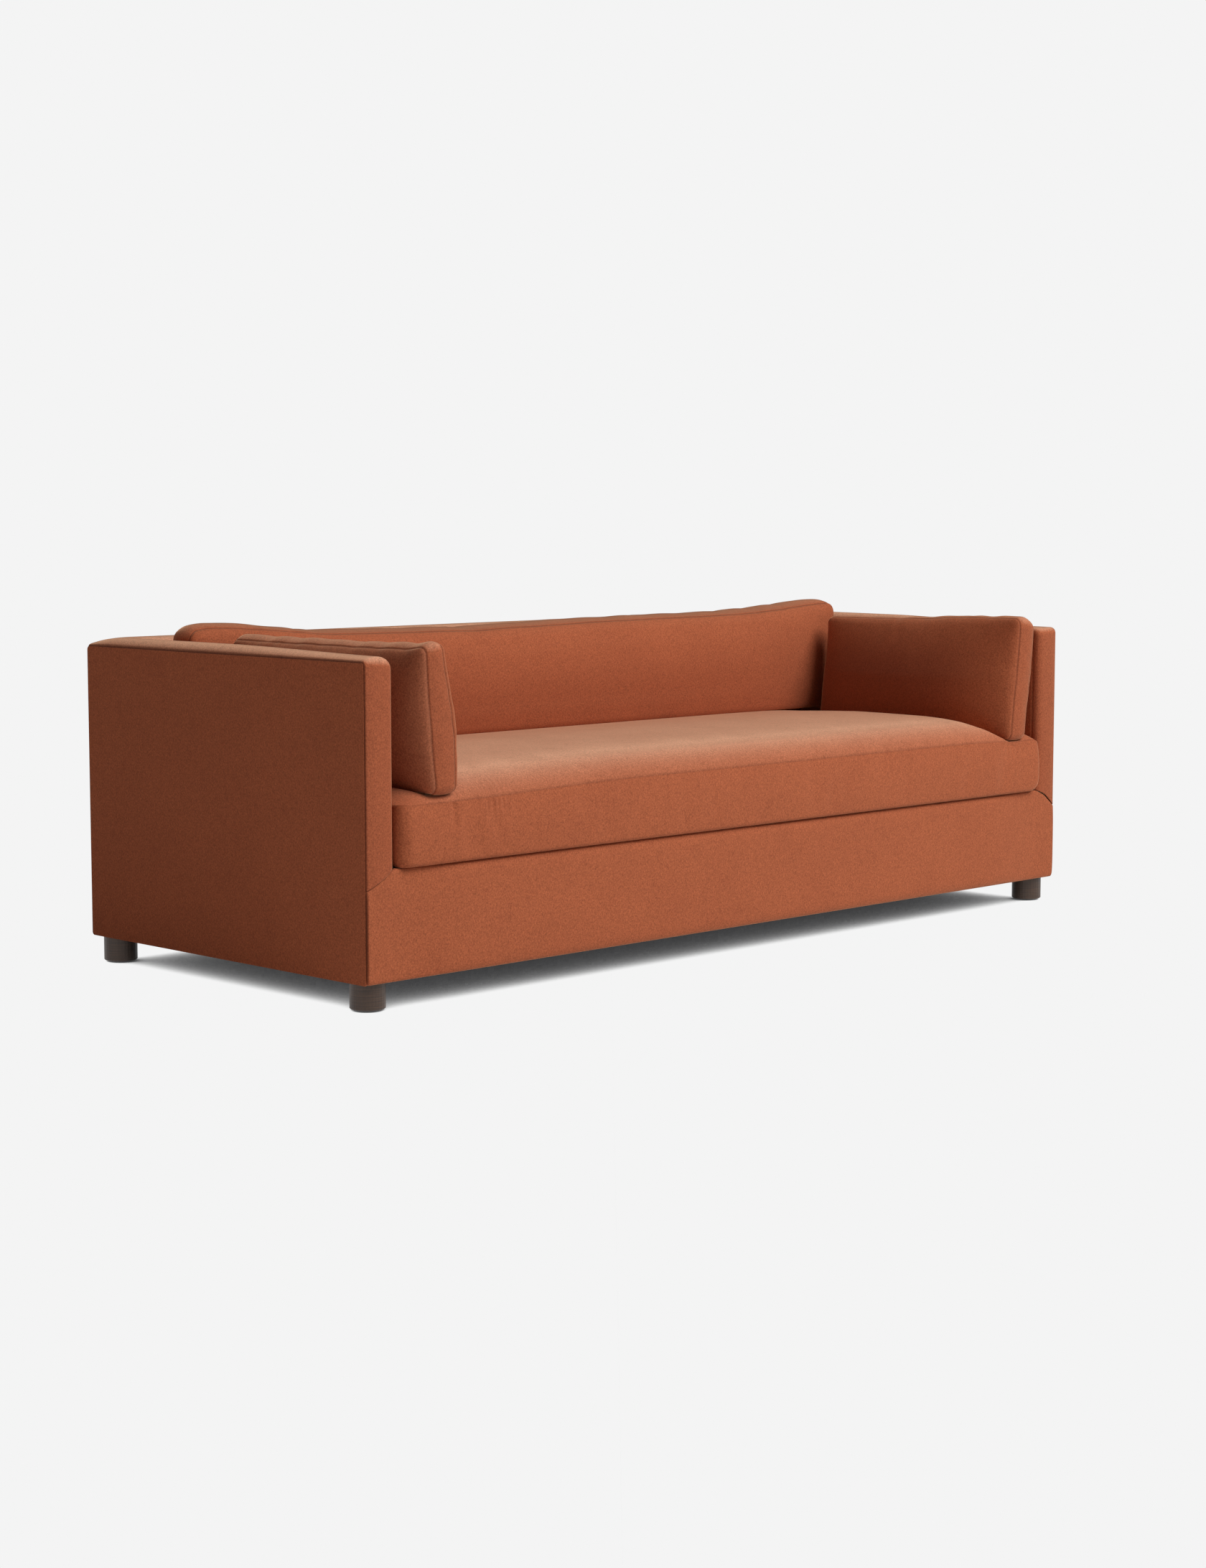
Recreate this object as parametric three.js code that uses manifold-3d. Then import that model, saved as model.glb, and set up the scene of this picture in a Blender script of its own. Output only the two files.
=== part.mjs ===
// Tuxedo sofa: timber frame, webbing, upholstery panels, four screwed-on legs and four loose cushions.
// Millimetres. X runs to the right as seen from the front, Y runs to the back and Z runs up.
// Y is 0 at the seam plane of the arm fronts, Z is 0 at the floor, and X is 0 at the middle.
// Left and right are those of a person who stands in front of the sofa and looks at it.

import * as THREE from 'three';
import { mergeVertices } from 'three/addons/utils/BufferGeometryUtils.js';
import Module from 'manifold-3d';

const wasm = await Module();
wasm.setup();

// Overall sizes
const WIDTH = 2440;
const DEPTH = 1000;
const ARM_WIDTH = 80;
const BACK_WIDTH = 110;
const SEAM_HEIGHT = 745;
const BORDER_HEIGHT = 306;
const FIT = 0.3;

// Legs, their glides and their fastenings
const LEG_DIAMETER = 78;
const LEG_HEIGHT = 58;
const LEG_INSET_X = 45.5;
const LEG_INSET_Y = 49;
const LEG_EDGE = 2;
const GLIDE_DIAMETER = 23;
const GLIDE_THICKNESS = 4;
const GLIDE_EDGE = 1;
const BOLT_DIAMETER = 8;
const BOLT_IN_LEG = 35;
const BOLT_POINT = 6;
const BOLT_TIP_DIAMETER = 2;
const BOLT_END_GAP = 4;
const NUT_DIAMETER = 11;
const NUT_LENGTH = 14;
const NUT_FLANGE_DIAMETER = 26;
const NUT_FLANGE_THICKNESS = 2;
const BORE_CLEARANCE = 0.3;

// Timber
const BLOCK_LENGTH = 130;
const BLOCK_HEIGHT = 45;
const RAIL_THICKNESS = 28;
const FRONT_POST_DEPTH = 50;
const TOP_RAIL_HEIGHT = 32;
const UPRIGHT_WIDTH = 50;
const STRETCHER_WIDTH = 45;
const STRETCHER_HEIGHT = 60;
const STRETCHER_SHARE = 0.35;

// Upholstery layers
const SKIN = 4;
const BAND_PAD = 12;
const BAND_BEND = BAND_PAD + FIT;
const BAND_CROWN_TOP = 18;
const BAND_CROWN_FRONT = 7;
const BAND_CORNER_DROP = 10;
const BORDER_CROWN = 7;
const BORDER_SLANT = 41;
const ARM_PAD = 25;
const BACK_PAD = 50;
const DECK_THICKNESS = 3;
const DUST_COVER_THICKNESS = 1.5;

// Webbing
const STRAP_WIDTH = 75;
const STRAP_THICKNESS = 1.6;
const STRAP_LAP = 0.2;
const STRAP_PITCH = 225;
const STRAP_TACK = 24;
const SEAT_CROSS_STRAPS = 3;
const SEAT_CROSS_PITCH = 240;
const BACK_CROSS_STRAPS = 2;
const BACK_CROSS_PITCH = 150;

// Loose cushions
const COVER = 2;
const ZIP_SLIT = 1.5;
const ZIP_SHARE = 0.6;
const CUSHION_GAP = 0.3;
const SEAT_CUSHION = {
  proud: 25,
  frontBulge: 10,
  rearBulge: 8,
  rearGap: 5,
  endGap: 5,
  endBulge: 7,
  corner: 32,
  drawIn: 3,
  boxing: 146,
  boxingAtEnds: 128,
  roll: 30,
  rollAtEnds: 20,
  crown: 26,
  pressReach: 390,
  pressEnd: 170,
};
const BACK_CUSHION = {
  boxing: 140,
  height: 298,
  topBulge: 10,
  topSag: 30,
  endGap: 6,
  endBulge: 5,
  corner: 30,
  drawIn: 4,
  crown: 45,
};
const PILLOW = {
  proud: 30,
  rearGap: 30,
  endBulge: 12,
  height: 326,
  topBulge: 8,
  topSag: 14,
  innerSeam: 160,
  boxing: 64,
  boxingAtTop: 51,
  lean: 45,
  corner: 28,
  drawIn: 4,
  crown: 42,
};

// Shares that shape crowns and outlines
const CROWN_STATION_SHARES = [0.97, 0.85, 0.65, 0.5, 0.35, 0.15, 0.03];
const BORDER_STATION_SHARES = [0.92, 0.75, 0.5, 0.25, 0.08];
const SLANT_STATION_SHARES = [0, 0.25, 0.5, 0.75];
const BEND_STATION_SHARES = [0, 0.33, 0.67, 1];
const BOXING_ROW_SHARES = [0.25, 0.5, 0.75];
const SLANT_CURVE_SHARE = 0.2;
const ROLL_STATION_SHARES = [0.3, 1];
const CROWN_POWER = 2.2;
const SEAT_CROWN_POWER = 1.5;
const SAG_POWER = 3;
const FLAT_CROWN_POWER = 4;
const CORNER_DROP_POWER = 6;
const ROUND_SIDES = 32;
const BOLT_SIDES = 16;

// Levels
const BODY_BOTTOM = GLIDE_THICKNESS + LEG_HEIGHT;
const FRAME_BASE = BODY_BOTTOM + DUST_COVER_THICKNESS + FIT;
const BLOCK_TOP = FRAME_BASE + BLOCK_HEIGHT;
const DECK_BOTTOM = BORDER_HEIGHT - DECK_THICKNESS;
const STRAP_TOP = DECK_BOTTOM - FIT;
const RAIL_TOP = STRAP_TOP - STRAP_THICKNESS - FIT;
const CROSS_STRAP_TOP = STRAP_TOP - STRAP_THICKNESS + STRAP_LAP;
const SIDE_RAIL_TOP = CROSS_STRAP_TOP - STRAP_THICKNESS - FIT;
const BAND_BASE = SEAM_HEIGHT - BAND_PAD;
const TOP_RAIL_TOP = BAND_BASE - FIT;
const TOP_RAIL_BOTTOM = TOP_RAIL_TOP - TOP_RAIL_HEIGHT;
const POST_TOP = TOP_RAIL_BOTTOM - FIT;

// Places across the sofa
const SIDE_OUT = WIDTH / 2;
const ARM_IN = SIDE_OUT - ARM_WIDTH;
const TIMBER_OUT = SIDE_OUT - SKIN - FIT;
const TIMBER_IN = ARM_IN + ARM_PAD + FIT;
const BLOCK_IN = TIMBER_OUT - BLOCK_LENGTH;

// Places from the front to the back
const TIMBER_FRONT = BAND_PAD + FIT;
const TIMBER_REAR = DEPTH - SKIN - FIT;
const BACK_IN = DEPTH - BACK_WIDTH;
const BACK_PAD_REAR = BACK_IN + BACK_PAD;
const BACK_STRAP_FRONT = BACK_PAD_REAR + FIT;
const BACK_STRAP_REAR = BACK_STRAP_FRONT + 2 * STRAP_THICKNESS - STRAP_LAP;
const BACK_TIMBER = BACK_STRAP_REAR + FIT;
const FRONT_POST_REAR = TIMBER_FRONT + FRONT_POST_DEPTH;
const CENTRE_Y = (DEPTH - PILLOW.proud) / 2;
const SEAT_STRAPS = Math.floor(2 * ARM_IN / STRAP_PITCH);
const BACK_STRAPS = SEAT_STRAPS - 1;

// Materials
function makeMaterial(color, roughness, metalness = 0) {
  return new THREE.MeshStandardMaterial({ color, roughness, metalness });
}

const velvet = () => makeMaterial('#a5593a', 0.85);
const timber = () => makeMaterial('#c9a878', 0.7);
const darkWood = () => makeMaterial('#3b2b23', 0.5);
const steel = () => makeMaterial('#b9bcc0', 0.35, 0.9);
const blackPlastic = () => makeMaterial('#151515', 0.6);
const strapping = () => makeMaterial('#8c7b60', 0.9);
const filling = () => makeMaterial('#e9e1cf', 0.95);
const lining = () => makeMaterial('#2a2a2c', 0.95);

// Scene graph helpers
const sofa = new THREE.Group();
sofa.position.y = -CENTRE_Y;

function addMesh(group, name, geometry, material) {
  const mesh = new THREE.Mesh(geometry, material);
  mesh.name = name;
  group.add(mesh);
  return mesh;
}

function addGroup() {
  const group = new THREE.Group();
  sofa.add(group);
  return group;
}

const SIDES = [
  { side: -1, label: 'left' },
  { side: 1, label: 'right' },
];

const ENDS = [
  { end: 0, label: 'front' },
  { end: 1, label: 'back' },
];

// Solid helpers
function signedVolume(positions, indices) {
  const a = new THREE.Vector3();
  const b = new THREE.Vector3();
  const c = new THREE.Vector3();
  let volume = 0;
  for (let i = 0; i < indices.length; i += 3) {
    a.fromArray(positions, 3 * indices[i]);
    b.fromArray(positions, 3 * indices[i + 1]);
    c.fromArray(positions, 3 * indices[i + 2]);
    volume += a.dot(b.cross(c)) / 6;
  }
  return volume;
}

function closedGeometry(points, indices) {
  const positions = points.flatMap((point) => point.toArray());
  const facing = signedVolume(positions, indices) < 0 ? [...indices].reverse() : indices;
  const geometry = new THREE.BufferGeometry();
  geometry.setAttribute('position', new THREE.Float32BufferAttribute(positions, 3));
  geometry.setIndex(facing);
  geometry.computeVertexNormals();
  return geometry;
}

function solidOf(geometry) {
  const bare = geometry.clone();
  bare.deleteAttribute('normal');
  bare.deleteAttribute('uv');
  const merged = mergeVertices(bare);
  return new wasm.Manifold(new wasm.Mesh({
    numProp: 3,
    vertProperties: new Float32Array(merged.attributes.position.array),
    triVerts: new Uint32Array(merged.index.array),
  }));
}

function geometryOf(solid) {
  const mesh = solid.getMesh();
  const geometry = new THREE.BufferGeometry();
  geometry.setAttribute('position', new THREE.BufferAttribute(new Float32Array(mesh.vertProperties), 3));
  geometry.setIndex(new THREE.BufferAttribute(new Uint32Array(mesh.triVerts), 1));
  geometry.computeVertexNormals();
  return geometry;
}

function cut(geometry, ...cutters) {
  const start = solidOf(geometry);
  return geometryOf(cutters.reduce((solid, cutter) => solid.subtract(solidOf(cutter)), start));
}

function join(geometries) {
  const solids = geometries.map(solidOf);
  return geometryOf(solids.reduce((solid, next) => solid.add(next)));
}

function box(x, y, z) {
  const geometry = new THREE.BoxGeometry(x[1] - x[0], y[1] - y[0], z[1] - z[0]);
  return geometry.translate((x[0] + x[1]) / 2, (y[0] + y[1]) / 2, (z[0] + z[1]) / 2);
}

function sideRange(side, near, far) {
  return side > 0 ? [near, far] : [-far, -near];
}

function extrude(outline, length, holes = []) {
  const shape = new THREE.Shape(outline.map(([u, v]) => new THREE.Vector2(u, v)));
  shape.holes = holes;
  return new THREE.ExtrudeGeometry(shape, {
    depth: length,
    bevelEnabled: false,
    curveSegments: ROUND_SIDES / 2,
  });
}

// An outline in (x, z), extruded towards the back from the given y
function panelFacingFront(outline, y, thickness) {
  const geometry = extrude(outline, thickness);
  const basis = new THREE.Matrix4().makeBasis(
    new THREE.Vector3(1, 0, 0),
    new THREE.Vector3(0, 0, 1),
    new THREE.Vector3(0, -1, 0),
  );
  return geometry.applyMatrix4(basis).translate(0, y + thickness, 0);
}

// An outline in (y, z), extruded to the right from the given x
function panelFacingSide(outline, x, thickness) {
  const geometry = extrude(outline, thickness);
  const basis = new THREE.Matrix4().makeBasis(
    new THREE.Vector3(0, 1, 0),
    new THREE.Vector3(0, 0, 1),
    new THREE.Vector3(1, 0, 0),
  );
  return geometry.applyMatrix4(basis).translate(x, 0, 0);
}

function lathe(profile, sides) {
  const points = profile.map(([radius, height]) => new THREE.Vector2(radius, height));
  return new THREE.LatheGeometry(points, sides).rotateX(Math.PI / 2);
}

// A closed solid through rings of points that all follow one flat section
function loft(section, rings) {
  const count = section.length;
  const points = rings.flat();
  const indices = [];
  for (let ring = 0; ring < rings.length - 1; ring += 1) {
    for (let i = 0; i < count; i += 1) {
      const a = ring * count + i;
      const b = ring * count + ((i + 1) % count);
      indices.push(a, b, b + count, a, b + count, a + count);
    }
  }
  const caps = THREE.ShapeUtils.triangulateShape(section, []);
  const flip = THREE.ShapeUtils.isClockWise(section);
  const last = (rings.length - 1) * count;
  for (const [a, b, c] of caps) {
    const [p, q] = flip ? [b, c] : [c, b];
    indices.push(a, p, q);
    indices.push(last + a, last + q, last + p);
  }
  return closedGeometry(points, indices);
}

// Legs: each group stands at its leg's centre and holds the leg, glide, bolt and tee nut
function legGeometry() {
  const radius = LEG_DIAMETER / 2;
  const top = BODY_BOTTOM - FIT;
  const boreRadius = BOLT_DIAMETER / 2 + BORE_CLEARANCE;
  const boreBottom = FRAME_BASE - BOLT_IN_LEG - BORE_CLEARANCE;
  return lathe([
    [0, GLIDE_THICKNESS],
    [radius - LEG_EDGE, GLIDE_THICKNESS],
    [radius, GLIDE_THICKNESS + LEG_EDGE],
    [radius, top],
    [boreRadius, top],
    [boreRadius, boreBottom],
    [0, boreBottom],
  ], ROUND_SIDES);
}

function glideGeometry() {
  const radius = GLIDE_DIAMETER / 2;
  const top = GLIDE_THICKNESS - FIT;
  return lathe([
    [0, 0],
    [radius - GLIDE_EDGE, 0],
    [radius, GLIDE_EDGE],
    [radius, top],
    [0, top],
  ], ROUND_SIDES);
}

function boltGeometry() {
  const radius = BOLT_DIAMETER / 2;
  const bottom = FRAME_BASE - BOLT_IN_LEG;
  return lathe([
    [0, bottom],
    [BOLT_TIP_DIAMETER / 2, bottom],
    [radius, bottom + BOLT_POINT],
    [radius, BLOCK_TOP - BOLT_END_GAP],
    [0, BLOCK_TOP - BOLT_END_GAP],
  ], BOLT_SIDES);
}

function teeNutGeometry() {
  const inner = BOLT_DIAMETER / 2 + BORE_CLEARANCE;
  const outer = NUT_DIAMETER / 2;
  const flange = NUT_FLANGE_DIAMETER / 2;
  const neck = BLOCK_TOP - NUT_FLANGE_THICKNESS;
  return lathe([
    [inner, BLOCK_TOP - NUT_LENGTH],
    [outer, BLOCK_TOP - NUT_LENGTH],
    [outer, neck],
    [flange, neck],
    [flange, BLOCK_TOP],
    [inner, BLOCK_TOP],
    [inner, BLOCK_TOP - NUT_LENGTH],
  ], BOLT_SIDES);
}

// The stepped hole that takes the bolt and the tee nut, longer than the block by the bolt's end gap
function blockBore(x, y) {
  const bolt = BOLT_DIAMETER / 2 + BORE_CLEARANCE;
  const nut = NUT_DIAMETER / 2 + BORE_CLEARANCE;
  const flange = NUT_FLANGE_DIAMETER / 2 + BORE_CLEARANCE;
  const nutBottom = BLOCK_TOP - NUT_LENGTH - BORE_CLEARANCE;
  const flangeBottom = BLOCK_TOP - NUT_FLANGE_THICKNESS - BORE_CLEARANCE;
  return lathe([
    [0, FRAME_BASE - BOLT_END_GAP],
    [bolt, FRAME_BASE - BOLT_END_GAP],
    [bolt, nutBottom],
    [nut, nutBottom],
    [nut, flangeBottom],
    [flange, flangeBottom],
    [flange, BLOCK_TOP + BOLT_END_GAP],
    [0, BLOCK_TOP + BOLT_END_GAP],
  ], BOLT_SIDES).translate(x, y, 0);
}

function legCentre(side, end) {
  return { x: side * (SIDE_OUT - LEG_INSET_X), y: end ? DEPTH - LEG_INSET_Y : LEG_INSET_Y };
}

for (const { side, label } of SIDES) {
  for (const { end, label: endLabel } of ENDS) {
    const place = `${endLabel}_${label}`;
    const centre = legCentre(side, end);
    const group = addGroup();
    group.position.set(centre.x, centre.y, 0);
    addMesh(group, `leg_${place}`, legGeometry(), darkWood());
    addMesh(group, `glide_${place}`, glideGeometry(), blackPlastic());
    addMesh(group, `hanger_bolt_${place}`, boltGeometry(), steel());
    addMesh(group, `tee_nut_${place}`, teeNutGeometry(), steel());
  }
}

// Timber frame
const frame = addGroup();

function notchedRailOutline(halfLength, halfLower, top) {
  return [
    [-halfLower, FRAME_BASE],
    [halfLower, FRAME_BASE],
    [halfLower, BLOCK_TOP + FIT],
    [halfLength, BLOCK_TOP + FIT],
    [halfLength, top],
    [-halfLength, top],
    [-halfLength, BLOCK_TOP + FIT],
    [-halfLower, BLOCK_TOP + FIT],
  ];
}

const crossRailOutline = notchedRailOutline(TIMBER_IN - FIT, BLOCK_IN - FIT, RAIL_TOP);
addMesh(frame, 'front_rail', panelFacingFront(crossRailOutline, TIMBER_FRONT, RAIL_THICKNESS), timber());
addMesh(frame, 'back_rail', panelFacingFront(crossRailOutline, BACK_TIMBER, RAIL_THICKNESS), timber());
addMesh(
  frame,
  'back_top_rail',
  box([-TIMBER_OUT, TIMBER_OUT], [BACK_TIMBER, TIMBER_REAR], [TOP_RAIL_BOTTOM, TOP_RAIL_TOP]),
  timber(),
);

for (const { side, label } of SIDES) {
  const postX = sideRange(side, TIMBER_IN, TIMBER_OUT);
  const sideRailOutline = [
    [TIMBER_FRONT + BLOCK_LENGTH + FIT, FRAME_BASE],
    [TIMBER_REAR - BLOCK_LENGTH - FIT, FRAME_BASE],
    [TIMBER_REAR - BLOCK_LENGTH - FIT, BLOCK_TOP + FIT],
    [BACK_TIMBER - FIT, BLOCK_TOP + FIT],
    [BACK_TIMBER - FIT, SIDE_RAIL_TOP],
    [FRONT_POST_REAR + FIT, SIDE_RAIL_TOP],
    [FRONT_POST_REAR + FIT, BLOCK_TOP + FIT],
    [TIMBER_FRONT + BLOCK_LENGTH + FIT, BLOCK_TOP + FIT],
  ];
  const sideRailX = sideRange(side, TIMBER_OUT - RAIL_THICKNESS, TIMBER_OUT)[0];
  addMesh(
    frame,
    `side_rail_${label}`,
    panelFacingSide(sideRailOutline, sideRailX, RAIL_THICKNESS),
    timber(),
  );
  addMesh(
    frame,
    `front_post_${label}`,
    box(postX, [TIMBER_FRONT, FRONT_POST_REAR], [BLOCK_TOP + FIT, POST_TOP]),
    timber(),
  );
  addMesh(
    frame,
    `back_post_${label}`,
    box(postX, [BACK_TIMBER, TIMBER_REAR], [BLOCK_TOP + FIT, POST_TOP]),
    timber(),
  );
  addMesh(
    frame,
    `arm_top_rail_${label}`,
    box(postX, [TIMBER_FRONT, BACK_TIMBER - FIT], [TOP_RAIL_BOTTOM, TOP_RAIL_TOP]),
    timber(),
  );
  const uprightX = side * 2 * STRAP_PITCH;
  addMesh(
    frame,
    `back_upright_${label}`,
    box(
      [uprightX - UPRIGHT_WIDTH / 2, uprightX + UPRIGHT_WIDTH / 2],
      [BACK_TIMBER, BACK_TIMBER + RAIL_THICKNESS],
      [RAIL_TOP + FIT, POST_TOP],
    ),
    timber(),
  );
  const stretcherX = side * STRETCHER_SHARE * ARM_IN;
  addMesh(
    frame,
    `seat_stretcher_${label}`,
    box(
      [stretcherX - STRETCHER_WIDTH / 2, stretcherX + STRETCHER_WIDTH / 2],
      [TIMBER_FRONT + RAIL_THICKNESS + FIT, BACK_TIMBER - FIT],
      [FRAME_BASE, FRAME_BASE + STRETCHER_HEIGHT],
    ),
    timber(),
  );
  for (const { end, label: endLabel } of ENDS) {
    const y = end ? [TIMBER_REAR - BLOCK_LENGTH, TIMBER_REAR] : [TIMBER_FRONT, TIMBER_FRONT + BLOCK_LENGTH];
    const centre = legCentre(side, end);
    const block = box(sideRange(side, BLOCK_IN, TIMBER_OUT), y, [FRAME_BASE, BLOCK_TOP]);
    addMesh(frame, `leg_block_${endLabel}_${label}`, cut(block, blockBore(centre.x, centre.y)), timber());
  }
}

// Webbing: long straps on one layer, cross straps on the next, sewn where they cross
const suspension = addGroup();

function spread(count, pitch) {
  return Array.from({ length: count }, (_, i) => (i - (count - 1) / 2) * pitch);
}

function strapRange(centre) {
  return [centre - STRAP_WIDTH / 2, centre + STRAP_WIDTH / 2];
}

const seatMiddleY = (TIMBER_FRONT + BACK_TIMBER) / 2;
const seatStraps = spread(SEAT_STRAPS, STRAP_PITCH).map((x) => box(
  strapRange(x),
  [TIMBER_FRONT + RAIL_THICKNESS - STRAP_TACK, BACK_TIMBER + STRAP_TACK],
  [STRAP_TOP - STRAP_THICKNESS, STRAP_TOP],
));
const seatCrossStraps = spread(SEAT_CROSS_STRAPS, SEAT_CROSS_PITCH).map((y) => box(
  [-TIMBER_OUT + RAIL_THICKNESS - STRAP_TACK, TIMBER_OUT - RAIL_THICKNESS + STRAP_TACK],
  strapRange(seatMiddleY + y),
  [CROSS_STRAP_TOP - STRAP_THICKNESS, CROSS_STRAP_TOP],
));
addMesh(suspension, 'seat_webbing', join([...seatStraps, ...seatCrossStraps]), strapping());

const backMiddleZ = (BORDER_HEIGHT + POST_TOP) / 2;
const backStraps = spread(BACK_STRAPS, STRAP_PITCH).map((x) => box(
  strapRange(x),
  [BACK_STRAP_FRONT, BACK_STRAP_FRONT + STRAP_THICKNESS],
  [RAIL_TOP - STRAP_TACK, TOP_RAIL_BOTTOM + STRAP_TACK],
));
const backCrossStraps = spread(BACK_CROSS_STRAPS, BACK_CROSS_PITCH).map((z) => box(
  [-TIMBER_IN - STRAP_TACK, TIMBER_IN + STRAP_TACK],
  [BACK_STRAP_REAR - STRAP_THICKNESS, BACK_STRAP_REAR],
  strapRange(backMiddleZ + z),
));
addMesh(suspension, 'back_webbing', join([...backStraps, ...backCrossStraps]), strapping());
addMesh(
  suspension,
  'seat_deck',
  box([-TIMBER_IN + FIT, TIMBER_IN - FIT], [TIMBER_FRONT, BACK_PAD_REAR], [DECK_BOTTOM, BORDER_HEIGHT]),
  lining(),
);

function boltHole(side, end) {
  const centre = legCentre(side, end);
  const hole = new THREE.Path();
  hole.absarc(centre.x, centre.y, BOLT_DIAMETER / 2 + BORE_CLEARANCE, 0, 2 * Math.PI, true);
  return hole;
}

const dustCoverOutline = [
  [-TIMBER_OUT, TIMBER_FRONT],
  [TIMBER_OUT, TIMBER_FRONT],
  [TIMBER_OUT, TIMBER_REAR],
  [-TIMBER_OUT, TIMBER_REAR],
];
const boltHoles = SIDES.flatMap(({ side }) => ENDS.map(({ end }) => boltHole(side, end)));
addMesh(
  suspension,
  'dust_cover',
  extrude(dustCoverOutline, DUST_COVER_THICKNESS, boltHoles).translate(0, 0, BODY_BOTTOM),
  lining(),
);

// Fixed upholstery
const upholstery = addGroup();

// How far the border's top seam has fallen at a share of the arm's width, 0 at its inner face
function slantFall(share) {
  return BORDER_SLANT * share * (1 + SLANT_CURVE_SHARE - SLANT_CURVE_SHARE * share);
}

function crownShare(share, power) {
  return 1 - Math.abs(2 * share - 1) ** power;
}

// The band's section: [share across, height over the seam plane]. The outer edge overhangs the panel.
function bandSection(crown, drop) {
  const bodyShare = 1 - (SKIN + FIT) / Math.min(ARM_WIDTH, BACK_WIDTH);
  const crownPoints = CROWN_STATION_SHARES.map((share) => [
    share,
    crown * crownShare(share, FLAT_CROWN_POWER) - drop * (1 - share) ** CORNER_DROP_POWER,
  ]);
  return [[0, -BAND_PAD], [bodyShare, -BAND_PAD], [bodyShare, 0], [1, 0], ...crownPoints, [0, -drop]];
}

function flatSection(section, width) {
  return section.map(([share, height]) => new THREE.Vector2(share * width, height));
}

function armBandRings(side) {
  const x = (share) => side * (ARM_IN + share * ARM_WIDTH);
  const front = bandSection(BAND_CROWN_FRONT, BAND_CORNER_DROP);
  const top = bandSection(BAND_CROWN_TOP, 0);
  const foot = front.map(([share, n]) => new THREE.Vector3(
    x(share),
    -n,
    BORDER_HEIGHT - slantFall(share) + FIT,
  ));
  const bend = BEND_STATION_SHARES.map((turn) => {
    const crown = THREE.MathUtils.lerp(BAND_CROWN_FRONT, BAND_CROWN_TOP, turn);
    const drop = THREE.MathUtils.lerp(BAND_CORNER_DROP, 0, turn);
    const angle = turn * Math.PI / 2;
    return bandSection(crown, drop).map(([share, n]) => new THREE.Vector3(
      x(share),
      BAND_BEND - (BAND_BEND + n) * Math.cos(angle),
      SEAM_HEIGHT - BAND_BEND + (BAND_BEND + n) * Math.sin(angle),
    ));
  });
  const mitre = top.map(([share, n]) => new THREE.Vector3(
    x(share),
    BACK_IN + share * BACK_WIDTH - FIT,
    SEAM_HEIGHT + n,
  ));
  return [foot, ...bend, mitre];
}

for (const { side, label } of SIDES) {
  const section = flatSection(bandSection(BAND_CROWN_TOP, 0), ARM_WIDTH);
  addMesh(upholstery, `arm_band_${label}`, loft(section, armBandRings(side)), velvet());

  const bend = BAND_BEND - FIT;
  const corner = BEND_STATION_SHARES.map((turn) => {
    const angle = turn * Math.PI / 2;
    return [BAND_BEND - bend * Math.cos(angle), SEAM_HEIGHT - BAND_BEND + bend * Math.sin(angle)];
  });
  const outline = [
    [FIT, BODY_BOTTOM],
    ...corner,
    [DEPTH, SEAM_HEIGHT - FIT],
    [DEPTH, BODY_BOTTOM],
  ].reverse();
  const panelX = sideRange(side, SIDE_OUT - SKIN, SIDE_OUT)[0];
  addMesh(upholstery, `outside_arm_${label}`, panelFacingSide(outline, panelX, SKIN), velvet());
  addMesh(
    upholstery,
    `inside_arm_${label}`,
    box(
      sideRange(side, ARM_IN, ARM_IN + ARM_PAD),
      [TIMBER_FRONT, BACK_PAD_REAR],
      [BORDER_HEIGHT + FIT, BAND_BASE - FIT],
    ),
    velvet(),
  );
}

const backSection = bandSection(BAND_CROWN_TOP, 0);
const backBandRings = SIDES.map(({ side }) => backSection.map(([share, n]) => new THREE.Vector3(
  side * (ARM_IN + share * ARM_WIDTH - FIT),
  BACK_IN + share * BACK_WIDTH,
  SEAM_HEIGHT + n,
)));
addMesh(upholstery, 'back_band', loft(flatSection(backSection, BACK_WIDTH), backBandRings), velvet());
addMesh(
  upholstery,
  'outside_back',
  box([-TIMBER_OUT, TIMBER_OUT], [DEPTH - SKIN, DEPTH], [BODY_BOTTOM, SEAM_HEIGHT - FIT]),
  velvet(),
);
addMesh(
  upholstery,
  'inside_back',
  box([-ARM_IN + FIT, ARM_IN - FIT], [BACK_IN, BACK_PAD_REAR], [BORDER_HEIGHT + FIT, BAND_BASE - FIT]),
  velvet(),
);

// The front border: its top edge follows the slanted seam at both arms, its face is crowned
function borderRing(x) {
  const share = Math.max(0, (Math.abs(x) - ARM_IN) / ARM_WIDTH);
  const top = BORDER_HEIGHT - slantFall(share);
  const crown = BORDER_CROWN * (1 - share ** FLAT_CROWN_POWER);
  const face = BORDER_STATION_SHARES.map((station) => new THREE.Vector3(
    x,
    -crown * crownShare(station, FLAT_CROWN_POWER),
    THREE.MathUtils.lerp(BODY_BOTTOM, top, station),
  ));
  return [
    new THREE.Vector3(x, BAND_PAD, BODY_BOTTOM),
    new THREE.Vector3(x, BAND_PAD, top),
    new THREE.Vector3(x, 0, top),
    ...face,
    new THREE.Vector3(x, 0, BODY_BOTTOM),
  ];
}

const borderEnd = [...SLANT_STATION_SHARES.map((share) => ARM_IN + share * ARM_WIDTH), TIMBER_OUT];
const borderRings = [...borderEnd.map((x) => -x).reverse(), ...borderEnd].map(borderRing);
const borderSection = borderRing(0).map((point) => new THREE.Vector2(point.y, point.z));
addMesh(upholstery, 'front_border', loft(borderSection, borderRings), velvet());

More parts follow.
